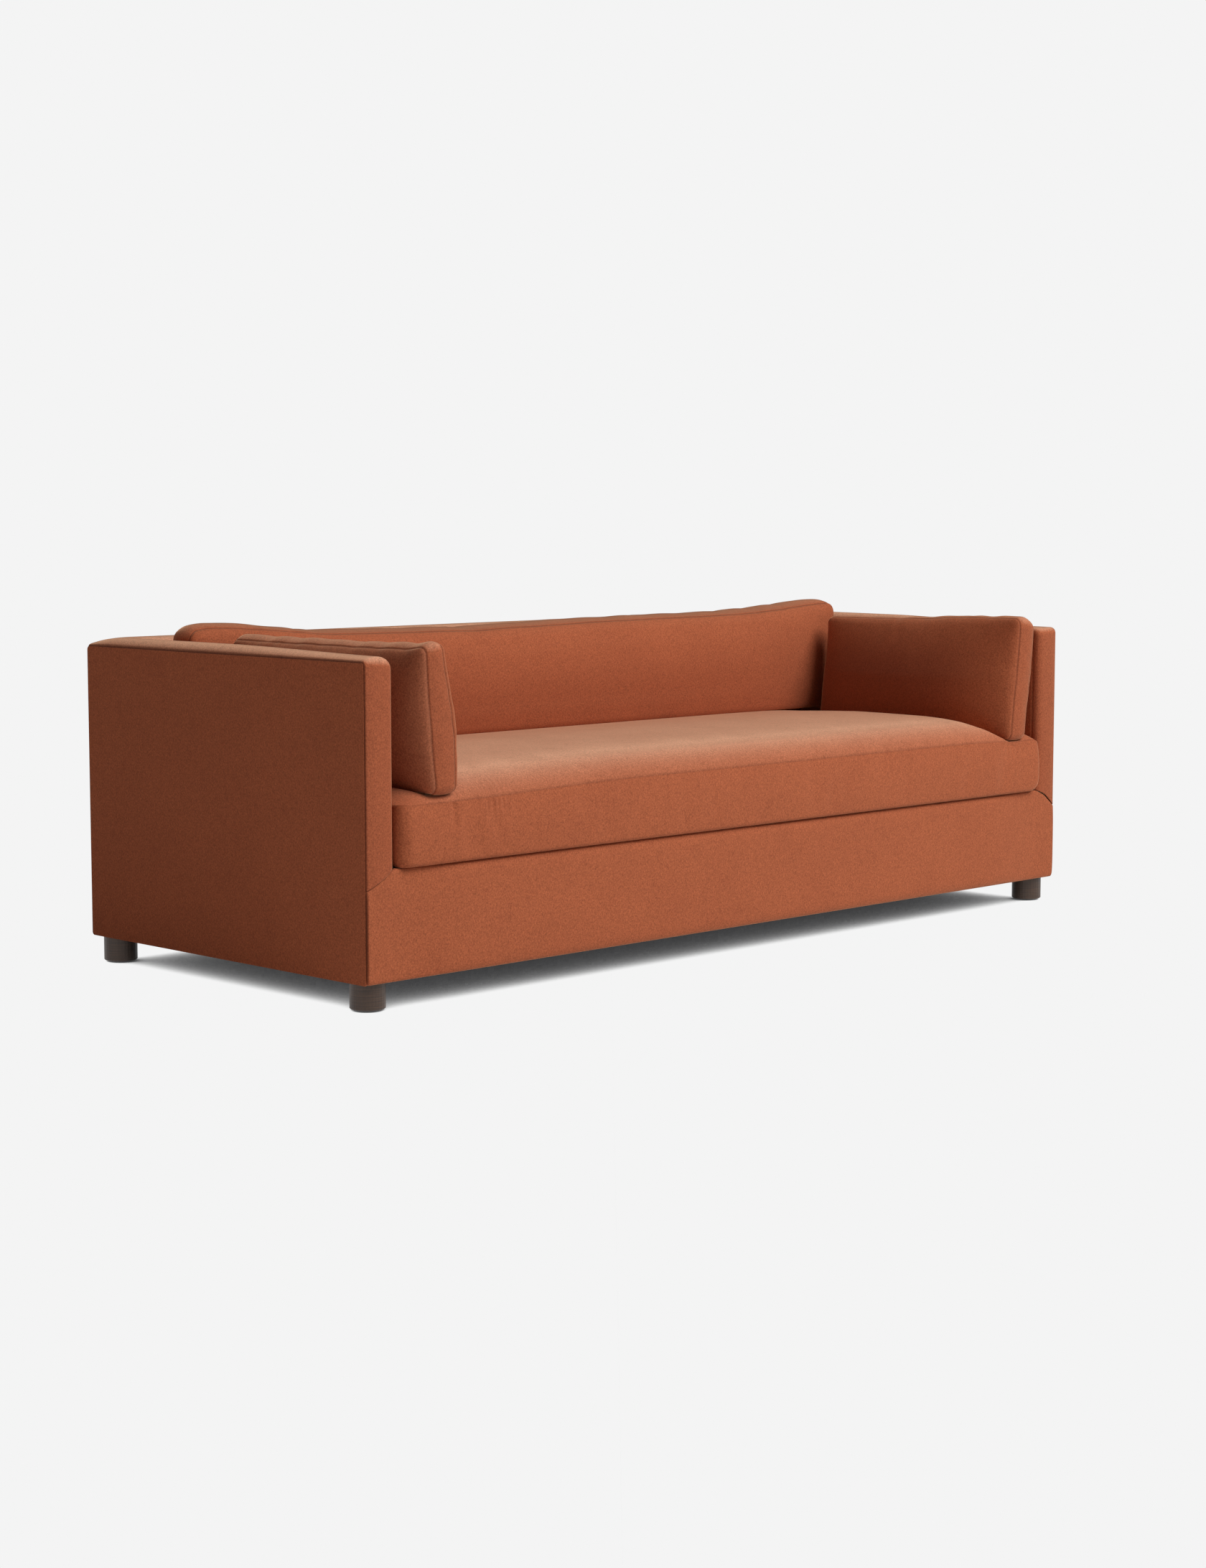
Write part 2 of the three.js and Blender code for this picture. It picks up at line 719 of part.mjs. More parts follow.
// Boxed cushions. A cushion lies on its local XY plane with its lower panel at z = 0: two panels and a
// boxing strip between them. Each station list has a corner's reach before its edge, and a cushion that
// stands on its low Y side is flat there.
function boundarySign(index, stations) {
  if (index === 0) return -1;
  return index === stations.length - 1 ? 1 : 0;
}

// Stations in the square corner of the grid move onto arcs round the corner's centre
function roundedPoint(spec, x, y) {
  const centreX = spec.xs.at(-1) - spec.corner;
  const centreY = spec.ys.at(-1) - spec.corner;
  const u = Math.abs(x) - centreX;
  const v = Math.abs(y) - centreY;
  if (u <= 0 || v <= 0) return new THREE.Vector2(x, y);
  const reach = Math.max(u, v);
  const angle = Math.PI / 4 * Math.min(u, v) / reach;
  const arc = [reach * Math.cos(angle), reach * Math.sin(angle)];
  const [outX, outY] = u >= v ? arc : arc.reverse();
  return new THREE.Vector2(Math.sign(x) * (centreX + outX), Math.sign(y) * (centreY + outY));
}

function outlinePoint(spec, i, j) {
  const x = spec.xs[i];
  const y = spec.ys[j];
  const signX = boundarySign(i, spec.xs);
  const signY = boundarySign(j, spec.ys);
  const drawX = spec.drawIn * (1 - (y / spec.ys.at(-1)) ** 2);
  const drawY = signY < 0 && spec.stands ? 0 : spec.drawIn * (1 - (x / spec.xs.at(-1)) ** 2);
  return roundedPoint(spec, x, y).sub(new THREE.Vector2(signX * drawX, signY * drawY));
}

// The boxing bulges most at the middle of each side and not at all at the corners
function bulgeOf(spec, i, j) {
  const signX = boundarySign(i, spec.xs);
  const signY = boundarySign(j, spec.ys);
  const shareX = 1 - (spec.ys[j] / spec.ys.at(-1)) ** FLAT_CROWN_POWER;
  const shareY = 1 - (spec.xs[i] / spec.xs.at(-1)) ** FLAT_CROWN_POWER;
  const bulgeX = signX < 0 ? -spec.bulge.xMin : signX * spec.bulge.xMax;
  const bulgeY = signY < 0 ? -spec.bulge.yMin : signY * spec.bulge.yMax;
  return new THREE.Vector2(bulgeX * shareX, bulgeY * shareY);
}

function perimeter(spec) {
  const lastX = spec.xs.length - 1;
  const lastY = spec.ys.length - 1;
  const loop = [];
  for (let i = 0; i < lastX; i += 1) loop.push([i, 0]);
  for (let j = 0; j < lastY; j += 1) loop.push([lastX, j]);
  for (let i = lastX; i > 0; i -= 1) loop.push([i, lastY]);
  for (let j = lastY; j > 0; j -= 1) loop.push([0, j]);
  return loop;
}

// inset moves every face inward, so that an inner skin and a core follow the cover
function cushionGeometry(spec, inset) {
  const countX = spec.xs.length;
  const countY = spec.ys.length;
  const shrinkX = 1 - inset / spec.xs.at(-1);
  const shrinkY = 1 - inset / spec.ys.at(-1);
  const points = [];
  const place = (x, y, z) => points.push(spec.place(new THREE.Vector3(x * shrinkX, y * shrinkY, z)));
  const upper = (i, j) => spec.upper(spec.xs[i], spec.ys[j]) - inset;
  const lower = (i, j) => spec.lower(spec.xs[i], spec.ys[j]) + inset;
  for (let j = 0; j < countY; j += 1) {
    for (let i = 0; i < countX; i += 1) {
      const at = outlinePoint(spec, i, j);
      place(at.x, at.y, lower(i, j));
    }
  }
  for (let j = 0; j < countY; j += 1) {
    for (let i = 0; i < countX; i += 1) {
      const at = outlinePoint(spec, i, j);
      place(at.x, at.y, upper(i, j));
    }
  }
  const loop = perimeter(spec);
  for (const row of BOXING_ROW_SHARES) {
    for (const [i, j] of loop) {
      const at = outlinePoint(spec, i, j);
      const out = bulgeOf(spec, i, j).multiplyScalar(crownShare(row, 2));
      place(at.x + out.x, at.y + out.y, THREE.MathUtils.lerp(lower(i, j), upper(i, j), row));
    }
  }
  const grid = countX * countY;
  const indices = [];
  for (let j = 0; j < countY - 1; j += 1) {
    for (let i = 0; i < countX - 1; i += 1) {
      const a = j * countX + i;
      const [b, c, d] = [a + 1, a + countX, a + countX + 1];
      indices.push(a, d, b, a, c, d);
      indices.push(grid + a, grid + b, grid + d, grid + a, grid + d, grid + c);
    }
  }
  const lowerRow = loop.map(([i, j]) => j * countX + i);
  const middleRows = BOXING_ROW_SHARES.map((_, row) => (
    loop.map((__, k) => 2 * grid + row * loop.length + k)
  ));
  const rows = [lowerRow, ...middleRows, lowerRow.map((index) => grid + index)];
  for (let row = 0; row < rows.length - 1; row += 1) {
    for (let k = 0; k < loop.length; k += 1) {
      const next = (k + 1) % loop.length;
      const [a, b, c, d] = [rows[row][k], rows[row][next], rows[row + 1][next], rows[row + 1][k]];
      indices.push(a, b, c, a, c, d);
    }
  }
  return closedGeometry(points, indices);
}

function addCushion(name, spec) {
  const group = addGroup();
  const outer = cushionGeometry(spec, 0);
  const inner = cushionGeometry(spec, COVER);
  addMesh(group, `${name}_cover`, cut(outer, inner, spec.slit()), velvet());
  addMesh(group, `${name}_core`, cushionGeometry(spec, COVER + CUSHION_GAP), filling());
}

function mirroredStations(half) {
  return [...half.map((value) => -value).reverse(), ...half.filter((value) => value > 0)];
}

function dome(t, power = CROWN_POWER) {
  return Math.max(0, 1 - Math.abs(t) ** power);
}

// How high a panel stands over its seam where it rolls over the edge, at a distance from the seam
function rollHeight(distance, radius) {
  const share = 1 - Math.min(Math.max(distance, 0) / radius, 1);
  return radius * Math.sqrt(1 - share ** 2);
}

// How far a standing cushion's top has sunk between its two upper corners, and not at all at its foot
function sagOf(spec, x, y, depth) {
  const across = dome(x / spec.xs.at(-1), SAG_POWER);
  return depth * across * ((y / spec.ys.at(-1) + 1) / 2) ** 2;
}

// The closed zip's slit runs along the middle of a boxing strip that starts at the given seam
function slitRange(seam, boxing) {
  return [seam + (boxing - ZIP_SLIT) / 2, seam + (boxing + ZIP_SLIT) / 2];
}

// Seat cushion: its panel rolls over the edge, and is pressed down where the arm pillows stand
const seatHalfX = ARM_IN - SEAT_CUSHION.endGap - SEAT_CUSHION.endBulge + SEAT_CUSHION.drawIn;
const seatFrontY = SEAT_CUSHION.frontBulge - SEAT_CUSHION.proud - SEAT_CUSHION.drawIn;
const seatRearY = BACK_IN - SEAT_CUSHION.rearGap - SEAT_CUSHION.rearBulge + SEAT_CUSHION.drawIn;
const seatHalfY = (seatRearY - seatFrontY) / 2;
const seatCentreY = (seatRearY + seatFrontY) / 2;
const seatBottom = BORDER_HEIGHT + CUSHION_GAP;
const pressStart = ARM_IN - SEAT_CUSHION.pressReach;
const pressEnd = ARM_IN - SEAT_CUSHION.pressEnd;
const pillowSeamX = ARM_IN - PILLOW.innerSeam;

function seatUpper(x, y) {
  const open = 1 - THREE.MathUtils.smoothstep(Math.abs(x), pressStart, pressEnd);
  const seam = THREE.MathUtils.lerp(SEAT_CUSHION.boxingAtEnds, SEAT_CUSHION.boxing, open);
  const radius = THREE.MathUtils.lerp(SEAT_CUSHION.rollAtEnds, SEAT_CUSHION.roll, open);
  const roll = rollHeight(Math.min(seatHalfX - Math.abs(x), seatHalfY - Math.abs(y)), radius);
  return seam + roll + SEAT_CUSHION.crown * open * dome(y / seatHalfY, SEAT_CROWN_POWER);
}

const seatRollStations = ROLL_STATION_SHARES.map((share) => share * SEAT_CUSHION.corner).reverse();

const seatSpec = {
  xs: mirroredStations([
    0,
    pressStart / 2,
    pressStart,
    (pressStart * 2 + pressEnd) / 3,
    (pressStart + pressEnd * 2) / 3,
    pressEnd,
    ...seatRollStations.map((reach) => seatHalfX - reach),
    seatHalfX,
  ]),
  ys: mirroredStations([
    0,
    seatHalfY / 4,
    seatHalfY / 2,
    seatHalfY * 3 / 4,
    ...seatRollStations.map((reach) => seatHalfY - reach),
    seatHalfY,
  ]),
  corner: SEAT_CUSHION.corner,
  drawIn: SEAT_CUSHION.drawIn,
  bulge: {
    xMin: SEAT_CUSHION.endBulge,
    xMax: SEAT_CUSHION.endBulge,
    yMin: SEAT_CUSHION.frontBulge,
    yMax: SEAT_CUSHION.rearBulge,
  },
  stands: false,
  upper: seatUpper,
  lower: () => 0,
  place: (point) => point.add(new THREE.Vector3(0, seatCentreY, seatBottom)),
  slit: () => box(
    [-seatHalfX * ZIP_SHARE, seatHalfX * ZIP_SHARE],
    [seatCentreY, BACK_IN],
    slitRange(seatBottom, SEAT_CUSHION.boxingAtEnds),
  ),
};
addCushion('seat_cushion', seatSpec);

// Back cushion: stands on the seat cushion's crown and leans on the inside back
const backHalfX = ARM_IN - BACK_CUSHION.endGap - BACK_CUSHION.endBulge + BACK_CUSHION.drawIn;
const backHalfY = BACK_CUSHION.height / 2;
const backSeamY = BACK_IN - FIT - BACK_CUSHION.crown - BACK_CUSHION.boxing;
const backBottom = seatBottom + seatUpper(0, backSeamY - seatCentreY) + CUSHION_GAP;

function backCrown(x, y) {
  const across = crownShare((x / backHalfX + 1) / 2, 2 * FLAT_CROWN_POWER);
  return BACK_CUSHION.crown * across * dome(y / backHalfY);
}

const backSpec = {
  xs: mirroredStations([
    0,
    backHalfX / 4,
    backHalfX / 2,
    backHalfX * 3 / 4,
    backHalfX - 3 * BACK_CUSHION.corner,
    backHalfX - BACK_CUSHION.corner,
    backHalfX,
  ]),
  ys: mirroredStations([0, backHalfY / 2, backHalfY - BACK_CUSHION.corner, backHalfY]),
  corner: BACK_CUSHION.corner,
  drawIn: BACK_CUSHION.drawIn,
  bulge: {
    xMin: BACK_CUSHION.endBulge,
    xMax: BACK_CUSHION.endBulge,
    yMin: 0,
    yMax: BACK_CUSHION.topBulge,
  },
  stands: true,
  upper: (x, y) => BACK_CUSHION.boxing + backCrown(x, y),
  lower: (x, y) => -backCrown(x, y),
  place: (point) => new THREE.Vector3(
    point.x,
    backSeamY + point.z,
    backBottom + backHalfY + point.y - sagOf(backSpec, point.x, point.y, BACK_CUSHION.topSag),
  ),
  slit: () => box(
    [-backHalfX * ZIP_SHARE, backHalfX * ZIP_SHARE],
    slitRange(backSeamY, BACK_CUSHION.boxing),
    [backBottom - BACK_CUSHION.crown, backBottom + BACK_CUSHION.crown],
  ),
};
addCushion('back_cushion', backSpec);

// Arm pillows: thinner at the top than at the bottom, and leaning towards the arm
const pillowHalfY = PILLOW.height / 2;
const pillowFrontY = PILLOW.endBulge - PILLOW.proud - PILLOW.drawIn;
const pillowRearY = backSeamY - BACK_CUSHION.crown - PILLOW.rearGap;
const pillowHalfX = (pillowRearY - pillowFrontY) / 2;
const pillowCentreY = pillowFrontY + pillowHalfX;
const pillowBottom = seatBottom + seatUpper(pillowSeamX, 0) + CUSHION_GAP;

function pillowCrown(x, y) {
  return PILLOW.crown * dome(x / pillowHalfX) * dome(y / pillowHalfY);
}

function pillowBoxing(y) {
  return THREE.MathUtils.lerp(PILLOW.boxing, PILLOW.boxingAtTop, (y / pillowHalfY + 1) / 2);
}

function pillowSpec(side) {
  const across = (z, share) => side * (pillowSeamX + z + PILLOW.lean * share);
  const spec = {
    xs: mirroredStations([
      0,
      pillowHalfX / 3,
      pillowHalfX * 2 / 3,
      pillowHalfX - PILLOW.corner,
      pillowHalfX,
    ]),
    ys: mirroredStations([0, pillowHalfY / 2, pillowHalfY - PILLOW.corner, pillowHalfY]),
    corner: PILLOW.corner,
    drawIn: PILLOW.drawIn,
    bulge: { xMin: PILLOW.endBulge, xMax: PILLOW.endBulge, yMin: 0, yMax: PILLOW.topBulge },
    stands: true,
    upper: (x, y) => pillowBoxing(y) + pillowCrown(x, y),
    lower: (x, y) => -pillowCrown(x, y),
    place: (point) => new THREE.Vector3(
      across(point.z, (point.y / pillowHalfY + 1) / 2),
      pillowCentreY + point.x,
      pillowBottom + pillowHalfY + point.y - sagOf(spec, point.x, point.y, PILLOW.topSag),
    ),
    slit: () => box(
      sideRange(side, ...slitRange(pillowSeamX, PILLOW.boxing)),
      [pillowCentreY - pillowHalfX * ZIP_SHARE, pillowCentreY + pillowHalfX * ZIP_SHARE],
      [pillowBottom - PILLOW.corner, pillowBottom + PILLOW.corner],
    ),
  };
  return spec;
}

for (const { side, label } of SIDES) {
  addCushion(`arm_pillow_${label}`, pillowSpec(side));
}

export default sofa;
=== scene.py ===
"""Tuxedo sofa in velvet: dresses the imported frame, one class per sub-assembly.

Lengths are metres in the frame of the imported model: X to the right as seen from the front, Y to the
back and Z up. Left is the side of negative X. The plane of the arm fronts' seams is at FRONT.
"""

import logging
import math
from dataclasses import dataclass, field
from enum import Enum
from functools import partial
from typing import Callable, Sequence

import bmesh
import bpy
import numpy as np
from mathutils import Euler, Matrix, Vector, kdtree


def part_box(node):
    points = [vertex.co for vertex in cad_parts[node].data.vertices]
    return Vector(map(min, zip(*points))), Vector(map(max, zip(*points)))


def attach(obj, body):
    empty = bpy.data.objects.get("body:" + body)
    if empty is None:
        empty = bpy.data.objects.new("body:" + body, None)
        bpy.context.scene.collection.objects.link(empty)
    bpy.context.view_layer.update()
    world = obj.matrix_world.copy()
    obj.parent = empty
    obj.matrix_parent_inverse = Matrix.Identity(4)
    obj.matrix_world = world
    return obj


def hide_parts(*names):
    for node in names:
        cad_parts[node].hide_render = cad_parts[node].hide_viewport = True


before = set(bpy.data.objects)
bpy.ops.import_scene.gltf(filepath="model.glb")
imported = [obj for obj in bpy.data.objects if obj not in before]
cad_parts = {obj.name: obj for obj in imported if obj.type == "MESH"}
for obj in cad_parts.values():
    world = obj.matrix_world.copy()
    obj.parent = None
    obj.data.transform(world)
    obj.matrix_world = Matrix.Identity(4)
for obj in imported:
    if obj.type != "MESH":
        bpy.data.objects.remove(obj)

Array = np.ndarray
Faces = list[tuple[int, ...]]
Piece = bpy.types.Object
Tree = bpy.types.NodeTree
Socket = bpy.types.NodeSocket

LOG = logging.getLogger("tuxedo_sofa")
MM = 0.001
TINY = 1e-9
TOLERANCE = 0.001 * MM

# The planes that the upholstery is drawn to
FRONT = -485 * MM
REAR = 515 * MM
SIDE_OUT = 1220 * MM
ARM_IN = 1140 * MM
BACK_IN = 405 * MM
SEAM_TOP = 745 * MM
BODY_BOTTOM = 62 * MM
BODY_MIDDLE = 0.4
REAR_CORNER = 8 * MM
# Between these places in Y the right pillow's foot sinks into the seat, ever deeper to the front
FOOT_SINKS = (-0.25, -0.47)

# The cloth simulation of the loose cushions
SIMULATED_FRAMES = 20
PRESSURE = 4.0
SHRINK = -0.03
NEIGHBOURS = 4


class Side(Enum):
    """The two ends of the sofa, as seen from its front."""

    LEFT = "left"
    RIGHT = "right"

    @property
    def sign(self) -> int:
        """Direction of this end along X."""
        return -1 if self is Side.LEFT else 1


# Shapes of curves


def smooth_step(low: float, high: float, value: Array) -> Array:
    """Rises smoothly from 0 where the value is low to 1 where it is high."""
    share = np.clip((np.asarray(value, float) - low) / (high - low), 0, 1)
    return share * share * (3 - 2 * share)


def ramp(depth: float, low: float, high: float, value: Array) -> Array:
    """Rises smoothly from 0 where the value is low to the depth where it is high."""
    return depth * smooth_step(low, high, value)


def roll(distance: Array, radius: Array) -> Array:
    """Height of a rolled edge as a share of its radius: 0 and upright at the seam, 1 past the radius."""
    share = np.clip(distance / radius, 0, 1)
    return np.sqrt(2 * share - share * share)


def dome(share: Array, power: float) -> Array:
    """A crown that is 1 in the middle and 0 where the share reaches -1 or 1."""
    return 1 - np.abs(np.clip(share, -1, 1)) ** power


def soft_least(first: Array, second: Array, blend: float) -> Array:
    """The smaller of two heights, with a rounded meeting of about the blend's size."""
    return -blend * np.logaddexp(-first / blend, -second / blend)


def swelling(distance: Array, reach: float) -> Array:
    """Share of a crown that is reached at a distance from the seam: steep at first, then ever flatter."""
    return 1 - np.exp(-((np.maximum(distance, 0) / reach) ** 0.85))


def bell(value: Array, middle: float, width: float) -> Array:
    """A smooth bump of height 1 at the middle."""
    return np.exp(-(((value - middle) / width) ** 2))


@dataclass(frozen=True)
class Seam:
    """A plain stitched seam: the thread draws the cloth in, and the cloth rolls up on both sides of it;
    painted shade darkens the colour along the thread.
    """

    depth: float = 1.6 * MM
    width: float = 1.0 * MM
    rim: float = 0.4 * MM
    rim_at: float = 3.5 * MM
    rim_width: float = 2.0 * MM
    # Darkness painted along the thread: a painted shade of the seam's hollow
    shade: float = 0.55
    shade_spread: float = 1.2

    def relief(self, distance: Array) -> Array:
        """How far the cloth stands out, or in where negative, at a distance from the thread."""
        sunk = self.depth * np.exp(-((distance / self.width) ** 2))
        return self.rim * bell(distance, self.rim_at, self.rim_width) - sunk

    def mark(self, distance: Array) -> Array:
        """Painted shade of the seam's hollow: the seam's shade at the thread, falling to 0 beside it."""
        return self.shade * np.exp(-((distance / (self.shade_spread * self.width)) ** 2))


# Each seam's shade is the painted shade along its thread
SEAM = Seam()
EDGE_SEAM = Seam(depth=2.0 * MM, width=1.7 * MM, shade=0.85)
JOIN_SEAM = Seam(depth=1.2 * MM, shade=0.35)
FAINT_SEAM = Seam(depth=0.5 * MM, rim=0.1 * MM, shade=0.3)
HIDDEN_SEAM = Seam(depth=0.3 * MM, rim=0.0, shade=0.0)
SEAM_STEPS = (0.0, 1.2 * MM, 2.8 * MM, 5.5 * MM)


def strip_stations(length: float, cell: float) -> Array:
    """Stations across a strip with a seam along both edges.

    Args:
        length: Width of the strip.
        cell: Distance between the stations away from the seams.

    Returns:
        Distances from the first edge.
    """
    edge = np.array(SEAM_STEPS)
    inner = length - 2 * edge[-1]
    middle = edge[-1] + np.linspace(0, inner, max(2, round(inner / cell) + 1))
    return np.concatenate([edge[:-1], middle, length - edge[-2::-1]])


# Meshes


def deselect() -> None:
    """Leaves nothing selected, so that an operator acts on one piece alone."""
    for chosen in list(bpy.context.selected_objects):
        chosen.select_set(False)


def pick(piece: Piece) -> None:
    """Makes one piece the only selected and the active one.

    Args:
        piece: The piece.
    """
    deselect()
    piece.select_set(True)
    bpy.context.view_layer.objects.active = piece


def edit_all(piece: Piece, operator: Callable[..., object], **settings: object) -> None:
    """Runs an edit-mode operator on the whole of a piece.

    Args:
        piece: The mesh to edit.
        operator: The operator.
        settings: Its values.
    """
    pick(piece)
    bpy.ops.object.mode_set(mode="EDIT")
    bpy.ops.mesh.select_all(action="SELECT")
    operator(**settings)
    bpy.ops.object.mode_set(mode="OBJECT")


def face_outwards(piece: Piece) -> None:
    """Recalculates the normals of a closed piece, so that they point out of it."""
    edit_all(piece, bpy.ops.mesh.normals_make_consistent, inside=False)


def select_edges(piece: Piece, wanted: Callable[[bmesh.types.BMEdge], bool]) -> None:
    """Selects the edges for which wanted is true, in edit mode.

    Args:
        piece: The mesh that is being edited.
        wanted: Test of an edge, by the place of its ends.
    """
    bpy.ops.mesh.select_mode(type="EDGE")
    bpy.ops.mesh.select_all(action="DESELECT")
    mesh = bmesh.from_edit_mesh(piece.data)
    for edge in mesh.edges:
        edge.select_set(wanted(edge))
    bmesh.update_edit_mesh(piece.data)


def mesh_piece(name: str, points: Array, faces: Faces) -> Piece:
    """Makes a mesh of points and faces.

    Args:
        name: Name of the piece.
        points: Rows of X, Y and Z.
        faces: Indices of each face's corners.

    Returns:
        The new object, at the origin.
    """
    mesh = bpy.data.meshes.new(name)
    mesh.from_pydata(points.tolist(), [], faces)
    mesh.update()
    piece = bpy.data.objects.new(name, mesh)
    bpy.context.scene.collection.objects.link(piece)
    return piece


def closed_piece(name: str, points: Array, faces: Faces) -> Piece:
    """Makes a closed mesh, with every face turned outwards and shaded smooth.

    Args:
        name: Name of the piece.
        points: Rows of X, Y and Z.
        faces: Indices of each face's corners.

    Returns:
        The new object, at the origin.
    """
    piece = mesh_piece(name, points, faces)
    face_outwards(piece)
    bpy.ops.object.shade_smooth()
    return piece


def apply_modifier(piece: Piece, kind: str, **settings: object) -> None:
    """Adds a modifier and applies it at once.

    Args:
        piece: The object to change.
        kind: Blender's type of the modifier.
        settings: Values of the modifier's properties.
    """
    pick(piece)
    modifier = piece.modifiers.new(kind.lower(), kind)
    for name, value in settings.items():
        setattr(modifier, name, value)
    bpy.ops.object.modifier_apply(modifier=modifier.name)


def refine(piece: Piece) -> None:
    """Subdivides a piece once, with the same level in views and renders."""
    apply_modifier(piece, "SUBSURF", levels=1, render_levels=1)


def store(piece: Piece, name: str, values: Array) -> None:
    """Stores a share for each point, for the cloth's finish.

    Args:
        piece: The mesh, before it is subdivided.
        name: "seam", painted shade along seams, up to 1, or "nap", painted sheen at 1 and painted shade at
            -1.
        values: One share for each vertex.
    """
    layer = piece.data.attributes.new(name, "FLOAT", "POINT")
    layer.data.foreach_set("value", values.astype(np.float32))


def grid_faces(rows: int, columns: int, start: int = 0, closed: bool = False) -> Faces:
    """Quads between the rows of a grid of points.

    Args:
        rows: How many rows there are.
        columns: Points in each row.
        start: Index of the grid's first point.
        closed: Whether the last column joins the first.

    Returns:
        The quads' corners.
    """
    quads = []
    for row in range(rows - 1):
        low, high = start + row * columns, start + (row + 1) * columns
        for column in range(columns if closed else columns - 1):
            after = (column + 1) % columns
            quads.append((low + column, low + after, high + after, high + column))
    return quads


def outline(rows: int, columns: int) -> list[int]:
    """Indices of the points on the border of a grid.

    Args:
        rows: How many rows the grid has.
        columns: Points in each row.

    Returns:
        The indices, in order round the border.
    """
    low = [row * columns for row in range(rows)]
    far = [(rows - 1) * columns + column for column in range(1, columns)]
    back = [row * columns + columns - 1 for row in range(rows - 2, -1, -1)]
    return low + far + back + list(range(columns - 2, 0, -1))


def vertices_of(piece: Piece) -> Array:
    """Reads the places of a mesh's points.

    Args:
        piece: The mesh.

    Returns:
        Rows of X, Y and Z.
    """
    places = np.empty(len(piece.data.vertices) * 3)
    piece.data.vertices.foreach_get("co", places)
    return places.reshape(-1, 3)


def smoothed(piece: Piece, values: Array, rounds: int) -> Array:
    """Averages a value of each point with its neighbours' values, several times.

    Args:
        piece: The mesh whose edges join the neighbours.
        values: One row for each point.
        rounds: How often to average.

    Returns:
        The smoothed rows.
    """
    ends = np.empty(len(piece.data.edges) * 2, np.int64)
    piece.data.edges.foreach_get("vertices", ends)
    here = np.concatenate([ends[0::2], ends[1::2]])
    there = np.concatenate([ends[1::2], ends[0::2]])
    count = np.maximum(np.bincount(here, minlength=len(values)), 1)
    for _ in range(rounds):
        sums = [np.bincount(here, values[there, axis], len(values)) for axis in range(3)]
        values = 0.5 * values + 0.5 * np.stack(sums, axis=-1) / count[:, None]
    return values


def carried(places: Array, values: Array, points: Array) -> Array:
    """Carries values from the points of one mesh over to the points of another.

    Args:
        places: Points of the mesh that has the values.
        values: One row for each of them.
        points: Points of the mesh that gets them.

    Returns:
        For each point the weighted mean of its nearest neighbours' rows.
    """
    near = kdtree.KDTree(len(places))
    for index, place in enumerate(places):
        near.insert(place, index)
    near.balance()
    rows = np.zeros_like(points)
    for index, place in enumerate(points):
        found = near.find_n(place, NEIGHBOURS)
        weights = np.array([1 / (1 * MM + distance) for _, _, distance in found])
        rows[index] = weights @ values[[item for _, item, _ in found]] / weights.sum()
    return rows


# Loose cushions


def round_corners(u: Array, v: Array, reach: tuple[float, float], corner: Array) -> tuple[Array, Array]:
    """Bends the square corners of a grid of points onto arcs round the corners' centres.

    Args:
        u: First coordinate of the points, 0 in the middle.
        v: Second coordinate of the points, 0 in the middle.
        reach: Half of the outline's size in each coordinate.
        corner: Radius of the outline's corners, for each point.

    Returns:
        The two coordinates, bent.
    """
    centre_u, centre_v = reach[0] - corner, reach[1] - corner
    out_u, out_v = np.abs(u) - centre_u, np.abs(v) - centre_v
    far, near = np.maximum(out_u, out_v), np.minimum(out_u, out_v)
    inside = near > 0
    angle = np.where(inside, math.pi / 4 * near / np.maximum(far, TINY), 0)
    along, across = far * np.cos(angle), far * np.sin(angle)
    wide = out_u >= out_v
    bent_u = np.sign(u) * (centre_u + np.where(wide, along, across))
    bent_v = np.sign(v) * (centre_v + np.where(wide, across, along))
    return np.where(inside, bent_u, u), np.where(inside, bent_v, v)


